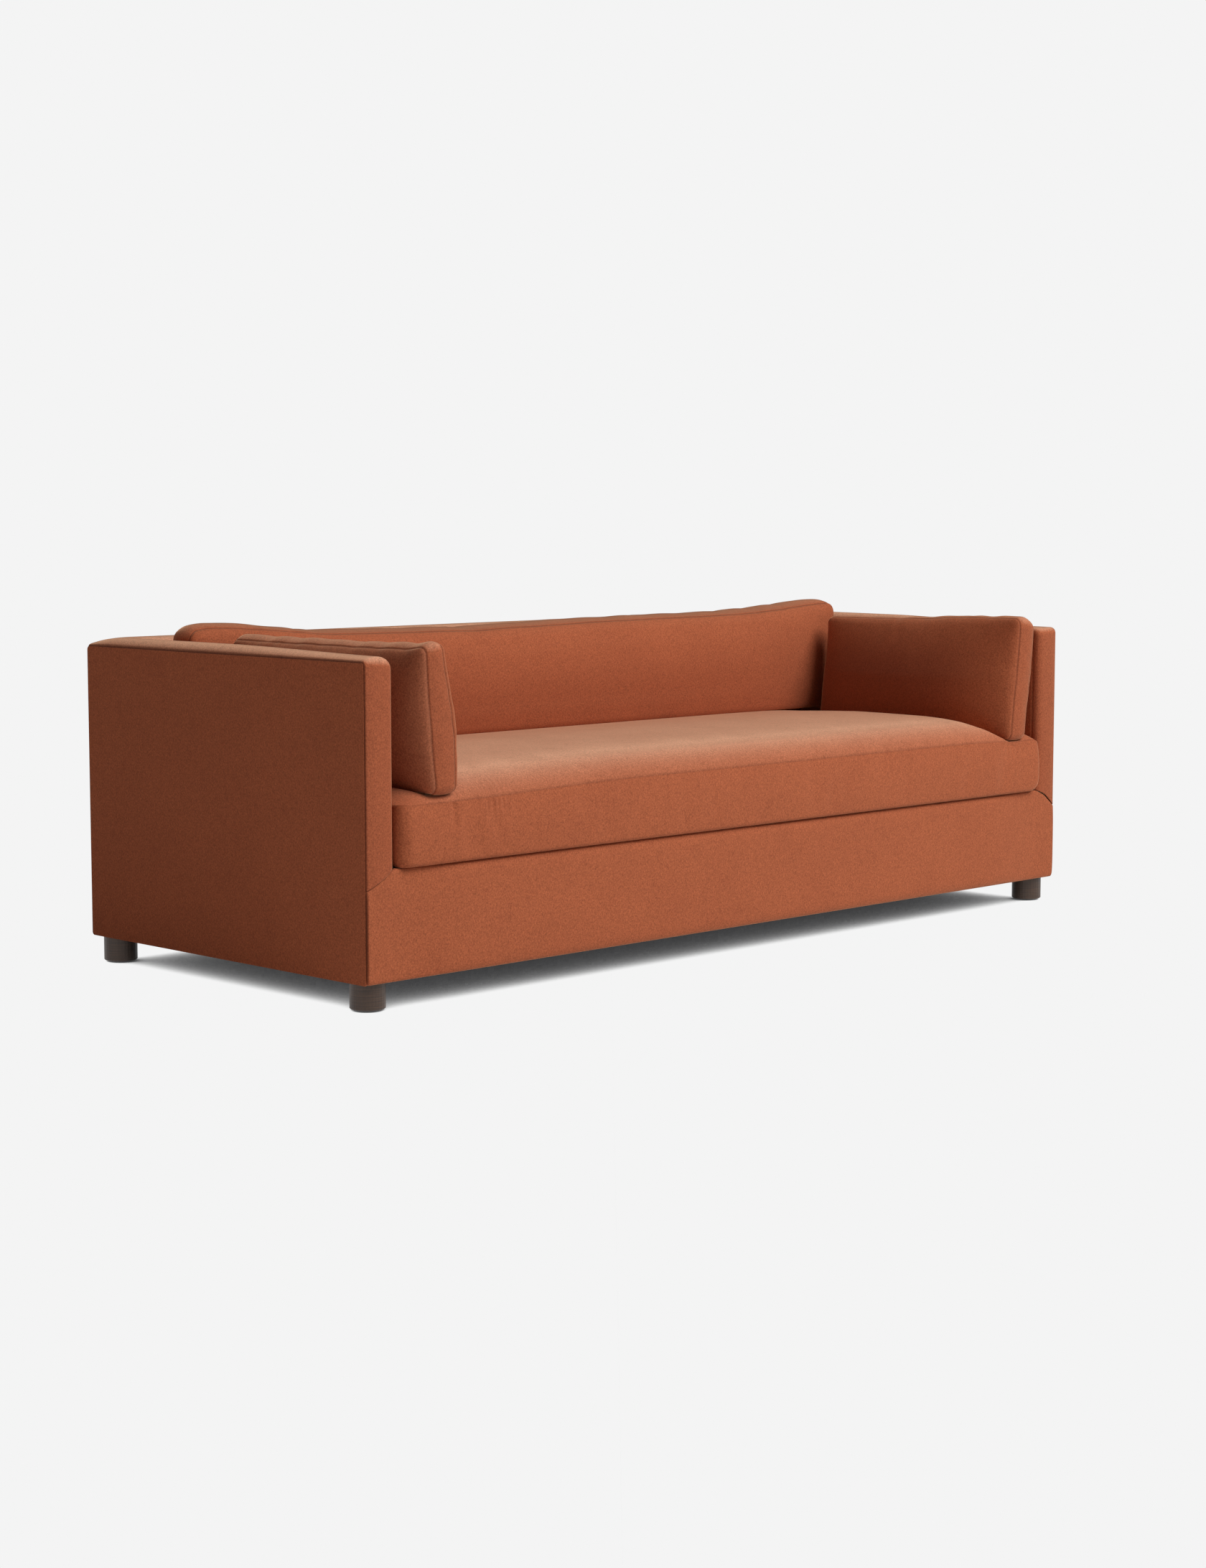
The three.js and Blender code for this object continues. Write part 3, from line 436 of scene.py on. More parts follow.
@dataclass
class BoxedCushion:
    """A cushion of two panels and a boxing strip. U and V run along the panels, W across the boxing.

    Subclasses give the shape: where the seams lie, how the panels swell and what presses them.
    """

    name: str
    body: str
    half_u: float
    half_v: float
    corner: float
    cell: float
    boxing_cell: float
    roll_reach: float
    # The cloth starts to move freely at the first height and moves in full at the second
    free_above: tuple[float, float]
    roll_steps: int = 6
    fill: float = 0.7
    upper_seam: Seam = SEAM
    lower_seam: Seam = SEAM
    # Painted light on the lower panel, the same all over it: lighter where positive
    back_painted_light: float = 0.0
    # Cell of the simulated copy, rounds of smoothing, and the creases' mean and greatest height
    voxel: float = 9 * MM
    smoothing: int = 16
    creases: float = 1.3 * MM
    cap: float = 6.0 * MM

    def panel(self, u: Array, v: Array, inward: Array, upper: bool) -> Array:
        """W of a panel's points, by their distance inward from the seam; subclasses give it."""
        raise NotImplementedError

    def boxing(self, share: Array, u: Array, v: Array) -> Array:
        """How far the boxing swells out at a share of its width; subclasses give it."""
        raise NotImplementedError

    def place(self, u: Array, v: Array, w: Array) -> Array:
        """Turns the cushion's own coordinates into rows of X, Y and Z; subclasses give it."""
        raise NotImplementedError

    def corner_at(self, u: Array) -> Array:
        """Radius of the outline's corners at the end that U points to."""
        return np.full_like(u, self.corner)

    def extra_stations(self, stations: Array) -> Array:
        """Lets a subclass draw the stations closer where its cloth puckers."""
        return stations

    def painted_light(self, u: Array, v: Array) -> Array:
        """Painted light on the upper panel: 1 a painted sheen, -1 painted shade."""
        return np.zeros_like(u)

    def boxing_painted_light(self, share: Array, v: Array) -> Array:
        """Painted light on the boxing: 1 a painted sheen, -1 painted shade; subclasses that stand upright
        give it.
        """
        return np.zeros_like(share * v)

    def press(self, points: Array) -> Array:
        """Keeps the points off what carries or touches the cushion; subclasses may change it."""
        return points

    def free(self, points: Array) -> Array:
        """Share, from 0 to 1, by which the cloth may move at each point; 0 where it touches something."""
        return smooth_step(*self.free_above, points[:, 2])

    def build(self) -> Piece:
        """Makes the cushion's cover, with its seams, creases and swelling.

        Returns:
            The finished cover, not yet dressed.
        """
        points, faces, seam, painted_light = self.lay_out()
        points = points + self.wrinkles(points, faces)
        points = self.press(points)
        cover = closed_piece(self.name, points, faces)
        # Painted shade along the seams and painted light, stored for the velvet's colour
        store(cover, "seam", seam)
        store(cover, "painted_light", painted_light)
        refine(cover)
        return cover

    def stations(self, half: float) -> Array:
        """Stations from -half to half, close together where the panel rolls into the seam.

        Args:
            half: Half of the panel's size.

        Returns:
            The stations in rising order.
        """
        steps = np.linspace(0, math.pi / 2, self.roll_steps + 1)[1:]
        curved = self.roll_reach * (1 - np.cos(steps))
        border = np.concatenate([SEAM_STEPS[:3], curved[curved > SEAM_STEPS[2] + 1.5 * MM]])
        inner = half - border[-1]
        middle = np.linspace(-inner, inner, max(3, round(2 * inner / self.cell) + 1))
        return np.concatenate([border[:-1] - half, middle, half - border[-2::-1]])

    def lay_out(self) -> tuple[Array, Faces, Array, Array]:
        """Computes the cover: the two panels, and the boxing between their borders.

        Returns:
            The points, the faces, the painted shade of the seams at each point, and the painted light at each
            point.
        """
        us, vs = self.extra_stations(self.stations(self.half_u)), self.stations(self.half_v)
        flat_u, flat_v = np.meshgrid(us, vs, indexing="ij")
        inward = np.minimum(self.half_u - np.abs(flat_u), self.half_v - np.abs(flat_v))
        u, v = round_corners(flat_u, flat_v, (self.half_u, self.half_v), self.corner_at(flat_u))
        upper, lower = self.panel(u, v, inward, True), self.panel(u, v, inward, False)
        loop = outline(len(us), len(vs))
        ring_u, ring_v = u.ravel()[loop], v.ravel()[loop]
        out_u, out_v = self.outward(ring_u, ring_v)
        top, bottom = upper.ravel()[loop], lower.ravel()[loop]
        mean = float(np.mean(top - bottom))
        rows = strip_stations(mean, self.boxing_cell)[1:-1]
        shares = rows[:, None] / mean
        relief = np.where(rows < mean / 2, self.upper_seam.relief(rows), self.lower_seam.relief(mean - rows))
        swell = self.boxing(shares, ring_u[None, :], ring_v[None, :]) + relief[:, None]
        strip = (ring_u + out_u * swell, ring_v + out_v * swell, top + (bottom - top) * shares)
        # The seams are drawn in, and the cloth rolls up beside them
        upper = upper + np.where(inward > 0, self.upper_seam.relief(inward), 0)
        lower = lower - np.where(inward > 0, self.lower_seam.relief(inward), 0)
        u.ravel()[loop] -= self.upper_seam.depth * out_u
        v.ravel()[loop] -= self.upper_seam.depth * out_v
        points = np.concatenate([self.place(*(part.ravel() for part in parts))
                                 for parts in ((u, v, upper), (u, v, lower), strip)])
        # Painted shade along the seams of the boxing and of both panels
        row_painted_seam_shade = np.maximum(self.upper_seam.mark(rows), self.lower_seam.mark(mean - rows))
        painted_seam_shade = np.concatenate([self.upper_seam.mark(inward).ravel(), self.lower_seam.mark(inward).ravel(),
                                np.repeat(row_painted_seam_shade, len(loop))])
        # Painted light: the upper panel's own, the lower panel's even share, and the boxing's
        painted_light = np.concatenate([self.painted_light(u, v).ravel(), np.full(u.size, self.back_painted_light),
                              self.boxing_painted_light(shares, ring_v[None, :]).ravel()])
        return points, self.joined_faces(len(us), len(vs), loop, len(rows)), painted_seam_shade, painted_light

    @staticmethod
    def joined_faces(across: int, along: int, loop: list[int], rows: int) -> Faces:
        """The faces of both panels and of the boxing, joined at the seams.

        Args:
            across: Points of a panel in U.
            along: Points of a panel in V.
            loop: Indices of a panel's border, in order.
            rows: Rows of points in the boxing.

        Returns:
            The faces.
        """
        count, size = across * along, len(loop)
        first, last = 2 * count, 2 * count + (rows - 1) * size
        faces = grid_faces(across, along) + grid_faces(across, along, count)
        faces += grid_faces(rows, size, first, closed=True)
        for here in range(size):
            after = (here + 1) % size
            faces.append((loop[here], loop[after], first + after, first + here))
            faces.append((last + here, last + after, count + loop[after], count + loop[here]))
        return faces

    def outward(self, u: Array, v: Array) -> tuple[Array, Array]:
        """Direction out of the outline at points of the seam.

        Args:
            u: First coordinate of the points.
            v: Second coordinate of the points.

        Returns:
            The direction's two parts.
        """
        corner = self.corner_at(u)
        out_u = np.maximum(np.abs(u) - (self.half_u - corner), 0) * np.sign(u)
        out_v = np.maximum(np.abs(v) - (self.half_v - corner), 0) * np.sign(v)
        length = np.maximum(np.hypot(out_u, out_v), TINY)
        return out_u / length, out_v / length

    def wrinkles(self, points: Array, faces: Faces) -> Array:
        """Moves the cover's points by the small creases that its simulated copy shows.

        Args:
            points: The cover's points.
            faces: Its faces.

        Returns:
            The move of each point.
        """
        places, creases = self.simulated(points, faces)
        moves = carried(places, creases, points)
        moves *= self.creases / np.sqrt(np.mean(np.sum(moves**2, axis=1)))
        moves /= (1 + np.linalg.norm(moves, axis=1) / self.cap)[:, None]
        moves *= self.free(points)[:, None]
        LOG.info("cloth of %s: %d points, creases up to %.1f mm", self.name, len(places),
                 np.linalg.norm(moves, axis=1).max() / MM)
        return moves

    def simulated(self, points: Array, faces: Faces) -> tuple[Array, Array]:
        """Blows a coarse copy of the cover up as cloth.

        Args:
            points: The cover's points.
            faces: Its faces.

        Returns:
            The copy's points, and the small creases that blowing it up makes at each of them.
        """
        copy = closed_piece(f"{self.name}_cloth", points, faces)
        apply_modifier(copy, "REMESH", mode="VOXEL", voxel_size=self.voxel)
        before = vertices_of(copy)
        cloth = copy.modifiers.new("cloth", "CLOTH")
        cloth.settings.use_pressure = True
        cloth.settings.uniform_pressure_force = PRESSURE
        cloth.settings.shrink_min = SHRINK
        cloth.settings.effector_weights.gravity = 0.0
        cloth.point_cache.frame_start, cloth.point_cache.frame_end = 1, SIMULATED_FRAMES
        for step in range(1, SIMULATED_FRAMES + 1):
            bpy.context.scene.frame_set(step)
        bpy.ops.object.modifier_apply(modifier=cloth.name)
        bpy.context.scene.frame_set(1)
        moved = vertices_of(copy) - before
        creases = moved - smoothed(copy, moved, self.smoothing)
        bpy.data.objects.remove(copy)
        return before, creases


@dataclass
class SeatCushion(BoxedCushion):
    """The one long seat cushion: a high crown, a rolled front edge, and hollows under what stands on it."""

    name: str = "seat_cushion"
    body: str = "seat_cushion"
    half_u: float = 1132 * MM
    half_v: float = 446 * MM
    corner: float = 16 * MM
    left_turn: float = 30 * MM
    cell: float = 16 * MM
    boxing_cell: float = 10 * MM
    roll_reach: float = 110 * MM
    free_above: tuple[float, float] = (312 * MM, 330 * MM)
    roll_steps: int = 15
    fill: float = 0.8
    voxel: float = 14 * MM
    upper_seam: Seam = FAINT_SEAM
    lower_seam: Seam = HIDDEN_SEAM
    middle_y: float = -58 * MM
    base: float = 306.5 * MM
    bottom_roll: float = 2.5 * MM
    crown: float = 66 * MM
    shoulder: float = 38 * MM
    end_shoulder: float = 75 * MM
    seam_level: float = 451.5 * MM
    # How far the seam dips at its ends and the rear, how far the crown falls, and where each starts and ends
    left_dip: tuple[float, float, float] = (13 * MM, 0.40, 1.05)
    right_dip: tuple[float, float, float] = (6 * MM, 0.78, 1.1)
    rear_dip: tuple[float, float, float] = (20 * MM, 0.3, 0.44)
    rear_fall: tuple[float, float, float] = (12 * MM, -0.08, 0.28)
    left_corner: float = 9 * MM
    right_corner: float = 40 * MM
    bulge: float = 6 * MM
    bulge_at: float = 0.6
    # Where each pillow stands: from the sofa's middle, from front to rear, and the seat's height there
    left_foot: tuple[float, float] = (0.984, 1.040)
    right_foot: tuple[float, float] = (0.997, 1.050)
    foot_ends: tuple[float, float] = (-500 * MM, 150 * MM)
    foot: float = 453 * MM
    foot_sink: float = 7 * MM
    foot_slope: float = 0.55
    foot_blend: float = 3.5 * MM
    # Where the back cushion stands: its front, and the seat's height there
    back_front: float = 215 * MM
    back_foot: float = 495 * MM
    back_slope: float = 0.45
    back_blend: float = 2.0 * MM
    # The folds gathered at the front seam: middle, width, pitch and strength of each run
    gathers: tuple[tuple[float, float, float, float], ...] = (
        (-0.853, 0.034, 0.0150, 1.0), (1.010, 0.040, 0.0200, 0.7)
    )
    pucker: float = 1.5 * MM
    pucker_reach: float = 45 * MM
    boxing_fold: float = 3.5 * MM
    # The one deep fold at the left end of the boxing: depth, place and width
    end_fold: tuple[float, float, float] = (6 * MM, -0.985, 0.007)
    # Runs of closer stations through the folds: first, last and step
    close: tuple[tuple[float, float, float], ...] = (
        (-1.001, -0.966, 3.5 * MM), (-0.925, -0.780, 4 * MM), (0.930, 1.091, 5 * MM)
    )
    # The cloth moves freely before the back cushion, between the pillows and off the arms
    free_before: tuple[float, float] = (185 * MM, 150 * MM)
    free_between: tuple[float, float] = (935 * MM, 900 * MM)
    free_within: tuple[float, float] = (1133 * MM, 1120 * MM)
    front_face: float = -505 * MM

    def seam_height(self, u: Array, v: Array) -> Array:
        """Height of the upper seam over the floor: it dips towards the ends and under the back.

        Args:
            u: Place along the sofa.
            v: Place from front to rear.

        Returns:
            The heights.
        """
        rounded = 0.7 * self.rounding(u) * (u > 0)
        level = self.seam_level - ramp(*self.left_dip, -u) - ramp(*self.right_dip, u)
        return level - rounded - ramp(*self.rear_dip, v)

    def panel(self, u: Array, v: Array, inward: Array, upper: bool) -> Array:
        """Height of the upper or lower panel, pressed and puckered.

        Args:
            u: Place along the sofa.
            v: Place from front to rear.
            inward: Distance from the seam.
            upper: Whether the panel is the upper one.

        Returns:
            The heights.
        """
        if not upper:
            lift = self.rounding(u) * smooth_step(-0.30, -0.42, v)
            return self.base + lift + self.bottom_roll * (1 - roll(inward, self.bottom_roll))
        depth = v + self.half_v
        swell = swelling(depth, self.shoulder) * swelling(self.half_v - v, self.shoulder)
        swell = swell * swelling(self.half_u - np.abs(u), self.end_shoulder)
        height = self.seam_height(u, v) + self.crown * swell - ramp(*self.rear_fall, v)
        # The puckers run from the front seam up into the panel and fade there
        fade = smooth_step(0, 6 * MM, inward) * smooth_step(self.pucker_reach, 5 * MM, depth)
        return self.pressed(u, v, height) + self.pucker * fade * self.folds(u)

    def pressed(self, u: Array, v: Array, height: Array) -> Array:
        """Lowers the panel where the pillows and the back cushion stand.

        Args:
            u: Place along the sofa.
            v: Place from front to rear.
            height: The panel's height before anything presses on it.

        Returns:
            The lowered heights.
        """
        y = v + self.middle_y
        side = np.abs(u)
        near, far = (np.where(u > 0, right, left) for left, right in zip(self.left_foot, self.right_foot))
        front, rear = self.foot_ends
        out_x = np.maximum(np.maximum(near - side, side - far), 0)
        out_y = np.maximum(np.maximum(y - rear, front - y), 0)
        sunk = ramp(self.foot_sink, *FOOT_SINKS, y) * (u > 0)
        pillow = self.foot - sunk + self.foot_slope * np.hypot(out_x, out_y)
        back = self.back_foot + self.back_slope * np.maximum(self.back_front - y, 0)
        return soft_least(soft_least(height, pillow, self.foot_blend), back, self.back_blend)

    def corner_at(self, u: Array) -> Array:
        """The left end has slumped rounder than the right one."""
        return np.where(u < 0, self.left_turn, self.corner)

    def rounding(self, u: Array) -> Array:
        """How far the two seams draw together towards the ends, where the cushion's face is rounded.

        Args:
            u: Place along the sofa.

        Returns:
            The distances.
        """
        radius = np.where(u > 0, self.right_corner, self.left_corner)
        share = np.clip((np.abs(u) - self.half_u + radius) / radius, 0, 1)
        return 0.75 * radius * (1 - np.sqrt(1 - share**2))

    def folds(self, u: Array) -> Array:
        """Height of the short folds where the front seam is gathered.

        Args:
            u: Place along the sofa.

        Returns:
            The heights, from -1 to 1.
        """
        waves = [size * bell(u, middle, width) * np.sin((u - middle) * 2 * math.pi / pitch)
                 for middle, width, pitch, size in self.gathers]
        return np.sum(waves, axis=0)

    def boxing(self, share: Array, u: Array, v: Array) -> Array:
        """How far the boxing swells: most in the lower half of the front, least where the arms hold it.

        Args:
            share: Place across the boxing, 0 at the upper seam.
            u: Place along the sofa.
            v: Place from front to rear.

        Returns:
            The distances.
        """
        front = smooth_step(-0.38, -0.44, v)
        above = dome((share - self.bulge_at) / self.bulge_at, 2.2)
        below = 0.2 + 0.8 * dome((share - self.bulge_at) / (1 - self.bulge_at), 6)
        swell = self.bulge * np.where(share < self.bulge_at, above, below)
        folds = self.boxing_fold * np.exp(-share / 0.2) * self.folds(u)
        depth, middle, width = self.end_fold
        crease = depth * bell(u, middle, width) * np.exp(-share / 0.3)
        return swell * (0.45 + 0.55 * front) + front * smooth_step(0, 0.06, share) * (folds - crease)

    def extra_stations(self, stations: Array) -> Array:
        """Draws the stations closer where the front seam is gathered or folded.

        Args:
            stations: The even stations.

        Returns:
            The stations with the closer runs in their places.
        """
        runs = [np.arange(*limits) for limits in self.close]
        for run in runs:
            stations = stations[(stations < run[0] - 2 * MM) | (stations > run[-1] + 2 * MM)]
        return np.sort(np.concatenate([stations, *runs]))

    def painted_light(self, u: Array, v: Array) -> Array:
        """Painted sheen: full on the crown, none below the seam; it stands in for the sheen and top light
        that the crown catches.
        """
        up = smooth_step(-20 * MM, 110 * MM, v + self.half_v)
        return up * smooth_step(0, 160 * MM, self.half_u - np.abs(u))

    def free(self, points: Array) -> Array:
        """How freely the cloth moves: fully on the crown and the front, away from what stands on it.

        Args:
            points: The cover's points.

        Returns:
            The shares, from 0 to 1.
        """
        x, y = np.abs(points[:, 0]), points[:, 1]
        clear = smooth_step(*self.free_before, y) * super().free(points)
        beside = np.where(y < self.front_face, 1, smooth_step(*self.free_between, x))
        return clear * beside * smooth_step(*self.free_within, x)

    def place(self, u: Array, v: Array, w: Array) -> Array:
        """The cushion lies flat: U is X, V is Y and W is Z."""
        return np.stack([u, v + self.middle_y, w], axis=-1)


@dataclass
class BackCushion(BoxedCushion):
    """The long back cushion: two ears at its ends and a top that sags between them."""

    name: str = "back_cushion"
    body: str = "back_cushion"
    half_u: float = 1131 * MM
    half_v: float = 137 * MM
    corner: float = 26 * MM
    cell: float = 13 * MM
    boxing_cell: float = 12 * MM
    roll_reach: float = 24 * MM
    free_above: tuple[float, float] = (500 * MM, 530 * MM)
    free_within: tuple[float, float] = (1126 * MM, 1110 * MM)
    fill: float = 0.75
    voxel: float = 12 * MM
    bottom: float = 497 * MM
    front_seam: float = 219 * MM
    rear_seam: float = 339 * MM
    edge: float = 17 * MM
    front_crown: float = 43 * MM
    rear_crown: float = 64 * MM
    end_taper: float = 0.32
    end_inset: float = 26 * MM
    # How far the left end leans to the back, and the right one
    end_lean: tuple[float, float] = (8 * MM, -10 * MM)
    # Painted shade on the face and painted sheen on the top
    face_painted_shade: float = -0.45
    top_painted_sheen: float = 0.15
    low_swell: float = 3 * MM
    top_swell: float = 5.5 * MM
    top_wave: float = 1.2 * MM
    # The pinch in the top's boxing: depth, place and width
    pinch: tuple[float, float, float] = (2.5 * MM, -0.27, 0.02)
    crest_over_seam: float = 8 * MM
    # Crest of the top: place along the sofa, and height
    ridge: tuple[tuple[float, float], ...] = (
        (-1.131, 0.790), (-1.09, 0.800), (-1.007, 0.7976), (-0.923, 0.7913), (-0.838, 0.7838),
        (-0.751, 0.7755), (-0.66, 0.7732), (-0.57, 0.7721), (-0.48, 0.7709), (-0.385, 0.7703),
        (-0.30, 0.7687), (-0.25, 0.7673), (-0.20, 0.7696), (-0.15, 0.7715), (-0.05, 0.7725),
        (0.05, 0.7744), (0.157, 0.777), (0.43, 0.7786), (0.6, 0.7796), (0.715, 0.7806),
        (0.774, 0.7827), (0.834, 0.7856), (0.894, 0.7897), (0.955, 0.7941), (1.017, 0.7987),
        (1.08, 0.8015), (1.14, 0.803),
    )

    def top_line(self, x: Array) -> Array:
        """Height of the top's crest along the sofa.

        Args:
            x: Places along the sofa.

        Returns:
            The heights.
        """
        places, heights = np.array(self.ridge).T
        nearby = [np.interp(x + shift, places, heights) for shift in np.linspace(-0.03, 0.03, 7)]
        return np.mean(nearby, axis=0)

    def panel(self, u: Array, v: Array, inward: Array, upper: bool) -> Array:
        """How far the front or rear panel stands off the boxing's middle plane.

        Args:
            u: Place along the cushion.
            v: Place up the cushion.
            inward: Distance from the seam.
            upper: Whether the panel is the front one.

        Returns:
            The distances, negative behind the middle plane.
        """
        half = (self.rear_seam - self.front_seam) / 2 * (1 - self.end_taper * self.ends(u))
        crown = self.front_crown if upper else self.rear_crown
        foot = 0.55 * smooth_step(0.2, -0.9, v / self.half_v) if upper else 0
        body = dome(u / self.half_u, 7) * (dome(v / self.half_v, 2.0) * (1 - foot) + foot)
        swell = self.edge * roll(inward, self.roll_reach) + (crown - self.edge) * body
        return half + swell if upper else -half - swell

    def ends(self, u: Array) -> Array:
        """0 along the cushion, rising to 1 at its ends, where the boxing is drawn narrower."""
        return smooth_step(0.86, 1.12, np.abs(u))

    def boxing(self, share: Array, u: Array, v: Array) -> Array:
        """How far the boxing swells: softly at the top, little where the cushion stands and at the ends.

        Args:
            share: Place across the boxing, 0 at the front seam.
            u: Place along the cushion.
            v: Place up the cushion.

        Returns:
            The distances.
        """
        top = smooth_step(0.5, 0.95, v / self.half_v)
        waves = self.top_wave * np.sin(u * 31) * np.sin(u * 12.7 + 1)
        depth, middle, width = self.pinch
        uneven = waves - depth * bell(u, middle, width)
        return dome(2 * share - 1, 2.2) * (self.low_swell + self.top_swell * top + top * uneven)

    def painted_light(self, u: Array, v: Array) -> Array:
        """Painted shade on the face, a little, most at its foot."""
        return self.face_painted_shade * smooth_step(1.0, -0.6, v / self.half_v)

    def boxing_painted_light(self, share: Array, v: Array) -> Array:
        """Painted sheen on the top, a little."""
        return self.top_painted_sheen * dome(2 * share - 1, 4) * smooth_step(0.8, 1.0, v / self.half_v)

    def free(self, points: Array) -> Array:
        """The back cushion's cloth moves freely on its face and its top."""
        return super().free(points) * smooth_step(*self.free_within, np.abs(points[:, 0]))

    def place(self, u: Array, v: Array, w: Array) -> Array:
        """The cushion stands: U is X, V is Z and W points to the front.

        Args:
            u: Place along the cushion.
            v: Place up the cushion.
            w: Distance to the front of the middle plane.

        Returns:
            Rows of X, Y and Z.
        """
        share = np.clip((v + self.half_v) / (2 * self.half_v), -0.1, 1.1)
        low = self.bottom + 2 * MM
        z = low + (self.top_line(u) - self.crest_over_seam - low) * share
        half, middle = (self.rear_seam - self.front_seam) / 2, (self.front_seam + self.rear_seam) / 2
        behind = np.clip(0.5 - w / (2 * half), 0, 1)
        x = u - np.sign(u) * self.end_inset * self.ends(u) * behind
        y = middle + np.where(u < 0, *self.end_lean) * self.ends(u) - w
        return np.stack([x, y, np.maximum(z, self.bottom)], axis=-1)

    def press(self, points: Array) -> Array:
        """Keeps the cushion over the seat and before the inside back.

        Args:
            points: The cover's points.

        Returns:
            The points, moved.
        """
        points = points.copy()
        points[:, 1] = np.minimum(points[:, 1], BACK_IN - 0.4 * MM)
        points[:, 2] = np.maximum(points[:, 2], self.bottom - 0.4 * MM)
        return points


@dataclass
class ArmPillow(BoxedCushion):
    """A boxed pillow that stands on the seat and leans to its arm."""

    side: Side = Side.LEFT
    half_u: float = 333 * MM
    half_v: float = 157 * MM
    corner: float = 19 * MM
    cell: float = 10 * MM
    boxing_cell: float = 9 * MM
    roll_reach: float = 18 * MM
    free_above: tuple[float, float] = (458 * MM, 485 * MM)
    fill: float = 0.65
    # Painted light on the arm-side panel, painted sheen on the top and painted shade on the front
    back_painted_light: float = 0.12
    top_painted_sheen: float = 0.45
    front_painted_shade: float = -0.3
    creases: float = 0.7 * MM
    cap: float = 3.0 * MM
    middle_y: float = -178 * MM
    bottom: float = 455 * MM
    foot_drop: float = 0.0
    inner_crown: float = 62 * MM
    outer_crown: float = 66 * MM
    inner_edge: float = 9 * MM
    outer_edge: float = 9 * MM
    long_shoulder: float = 130 * MM
    high_shoulder: float = 85 * MM
    # What the two swellings together reach in the middle of a panel
    fullness: float = 0.89 * 0.81
    boxing_swell: float = 3.5 * MM
    top_swell: float = 1.5 * MM
    top_wave: float = 1.2 * MM
    # Distance of the two seams from the sofa's middle, at shares of the pillow's height
    heights: tuple[float, ...] = (0.0, 0.14, 0.32, 0.5, 0.62, 0.78, 0.92, 1.0)
    inner_seam: tuple[float, ...] = (0.988, 0.987, 0.988, 0.994, 1.001, 1.013, 1.021, 1.026)
    outer_seam: tuple[float, ...] = (1.0385, 1.0454, 1.051, 1.055, 1.0595, 1.064, 1.066, 1.068)
    crest_over_seam: float = 6 * MM
    # Crest of the top: place from front to rear, and height
    crest: tuple[tuple[float, float], ...] = (
        (-0.5, 0.7785), (-0.415, 0.778), (-0.365, 0.7775), (-0.295, 0.776), (-0.2, 0.770),
        (-0.05, 0.766), (0.16, 0.764),
    )

    def panel(self, u: Array, v: Array, inward: Array, upper: bool) -> Array:
        """How far the inner or arm-side panel stands off the pillow's middle plane.

        Args:
            u: Place along the pillow.
            v: Place up the pillow.
            inward: Distance from the seam.
            upper: Whether the panel is the inner one.

        Returns:
            The distances, negative towards the arm.
        """
        inner, outer = self.seams(v)
        half = (outer - inner) / 2
        edge = self.inner_edge if upper else self.outer_edge
        crown = self.inner_crown if upper else self.outer_crown
        body = swelling(self.half_u - np.abs(u), self.long_shoulder)
        body = body * swelling(self.half_v - np.abs(v), self.high_shoulder) / self.fullness
        swell = edge * roll(inward, self.roll_reach) + (crown - edge) * body
        return half + swell if upper else -half - swell

    def seams(self, v: Array) -> list[Array]:
        """Distance of the inner and the arm-side seam from the sofa's middle.

        Args:
            v: Place up the pillow.

        Returns:
            The distances of both seams.
        """
        share = np.clip((v + self.half_v) / (2 * self.half_v), 0, 1)
        nearby = [share + shift for shift in np.linspace(-0.12, 0.12, 7)]
        return [np.mean([np.interp(place, self.heights, seam) for place in nearby], axis=0)
                for seam in (self.inner_seam, self.outer_seam)]

    def boxing(self, share: Array, u: Array, v: Array) -> Array:
        """How far the boxing swells: a soft ridge on top, almost flat at the front.

        Args:
            share: Place across the boxing, 0 at the inner seam.
            u: Place along the pillow.
            v: Place up the pillow.

        Returns:
            The distances.
        """
        top = smooth_step(0.5, 0.95, v / self.half_v)
        waves = self.top_wave * np.sin(u * 43 + self.side.sign) * np.sin(u * 19)
        return dome(2 * share - 1, 2.2) * (self.boxing_swell + self.top_swell * top + top * waves)

    def painted_light(self, u: Array, v: Array) -> Array:
        """Painted shade on the inner face, away from its front and its top."""
        from_front = smooth_step(20 * MM, 280 * MM, u + self.half_u)
        return -from_front * smooth_step(10 * MM, 150 * MM, self.half_v - v)

    def boxing_painted_light(self, share: Array, v: Array) -> Array:
        """Painted sheen on the top, and painted shade on the front."""
        up = smooth_step(0.8, 1.0, v / self.half_v)
        return self.top_painted_sheen * dome(2 * share - 1, 4) * up + self.front_painted_shade * (1 - up)

    def place(self, u: Array, v: Array, w: Array) -> Array:
        """The pillow stands: U is Y, V is Z and W points to the sofa's middle.

        Args:
            u: Place along the pillow.
            v: Place up the pillow.
            w: Distance to the sofa's middle from the middle plane.

        Returns:
            Rows of X, Y and Z.
        """
        y = u + self.middle_y
        share = (v + self.half_v) / (2 * self.half_v)
        low = self.bottom + 2 * MM
        z = low + (np.interp(y, *np.array(self.crest).T) - self.crest_over_seam - low) * share
        sunk = ramp(self.foot_drop, *FOOT_SINKS, y) * (1 - np.clip(share, 0, 1))
        z = np.maximum(z + 0.35 * np.minimum(w, 0) * share**2, self.bottom) - sunk
        return np.stack([self.side.sign * (np.mean(self.seams(v), axis=0) - w), y, z], axis=-1)


# Upholstery drawn over the frame


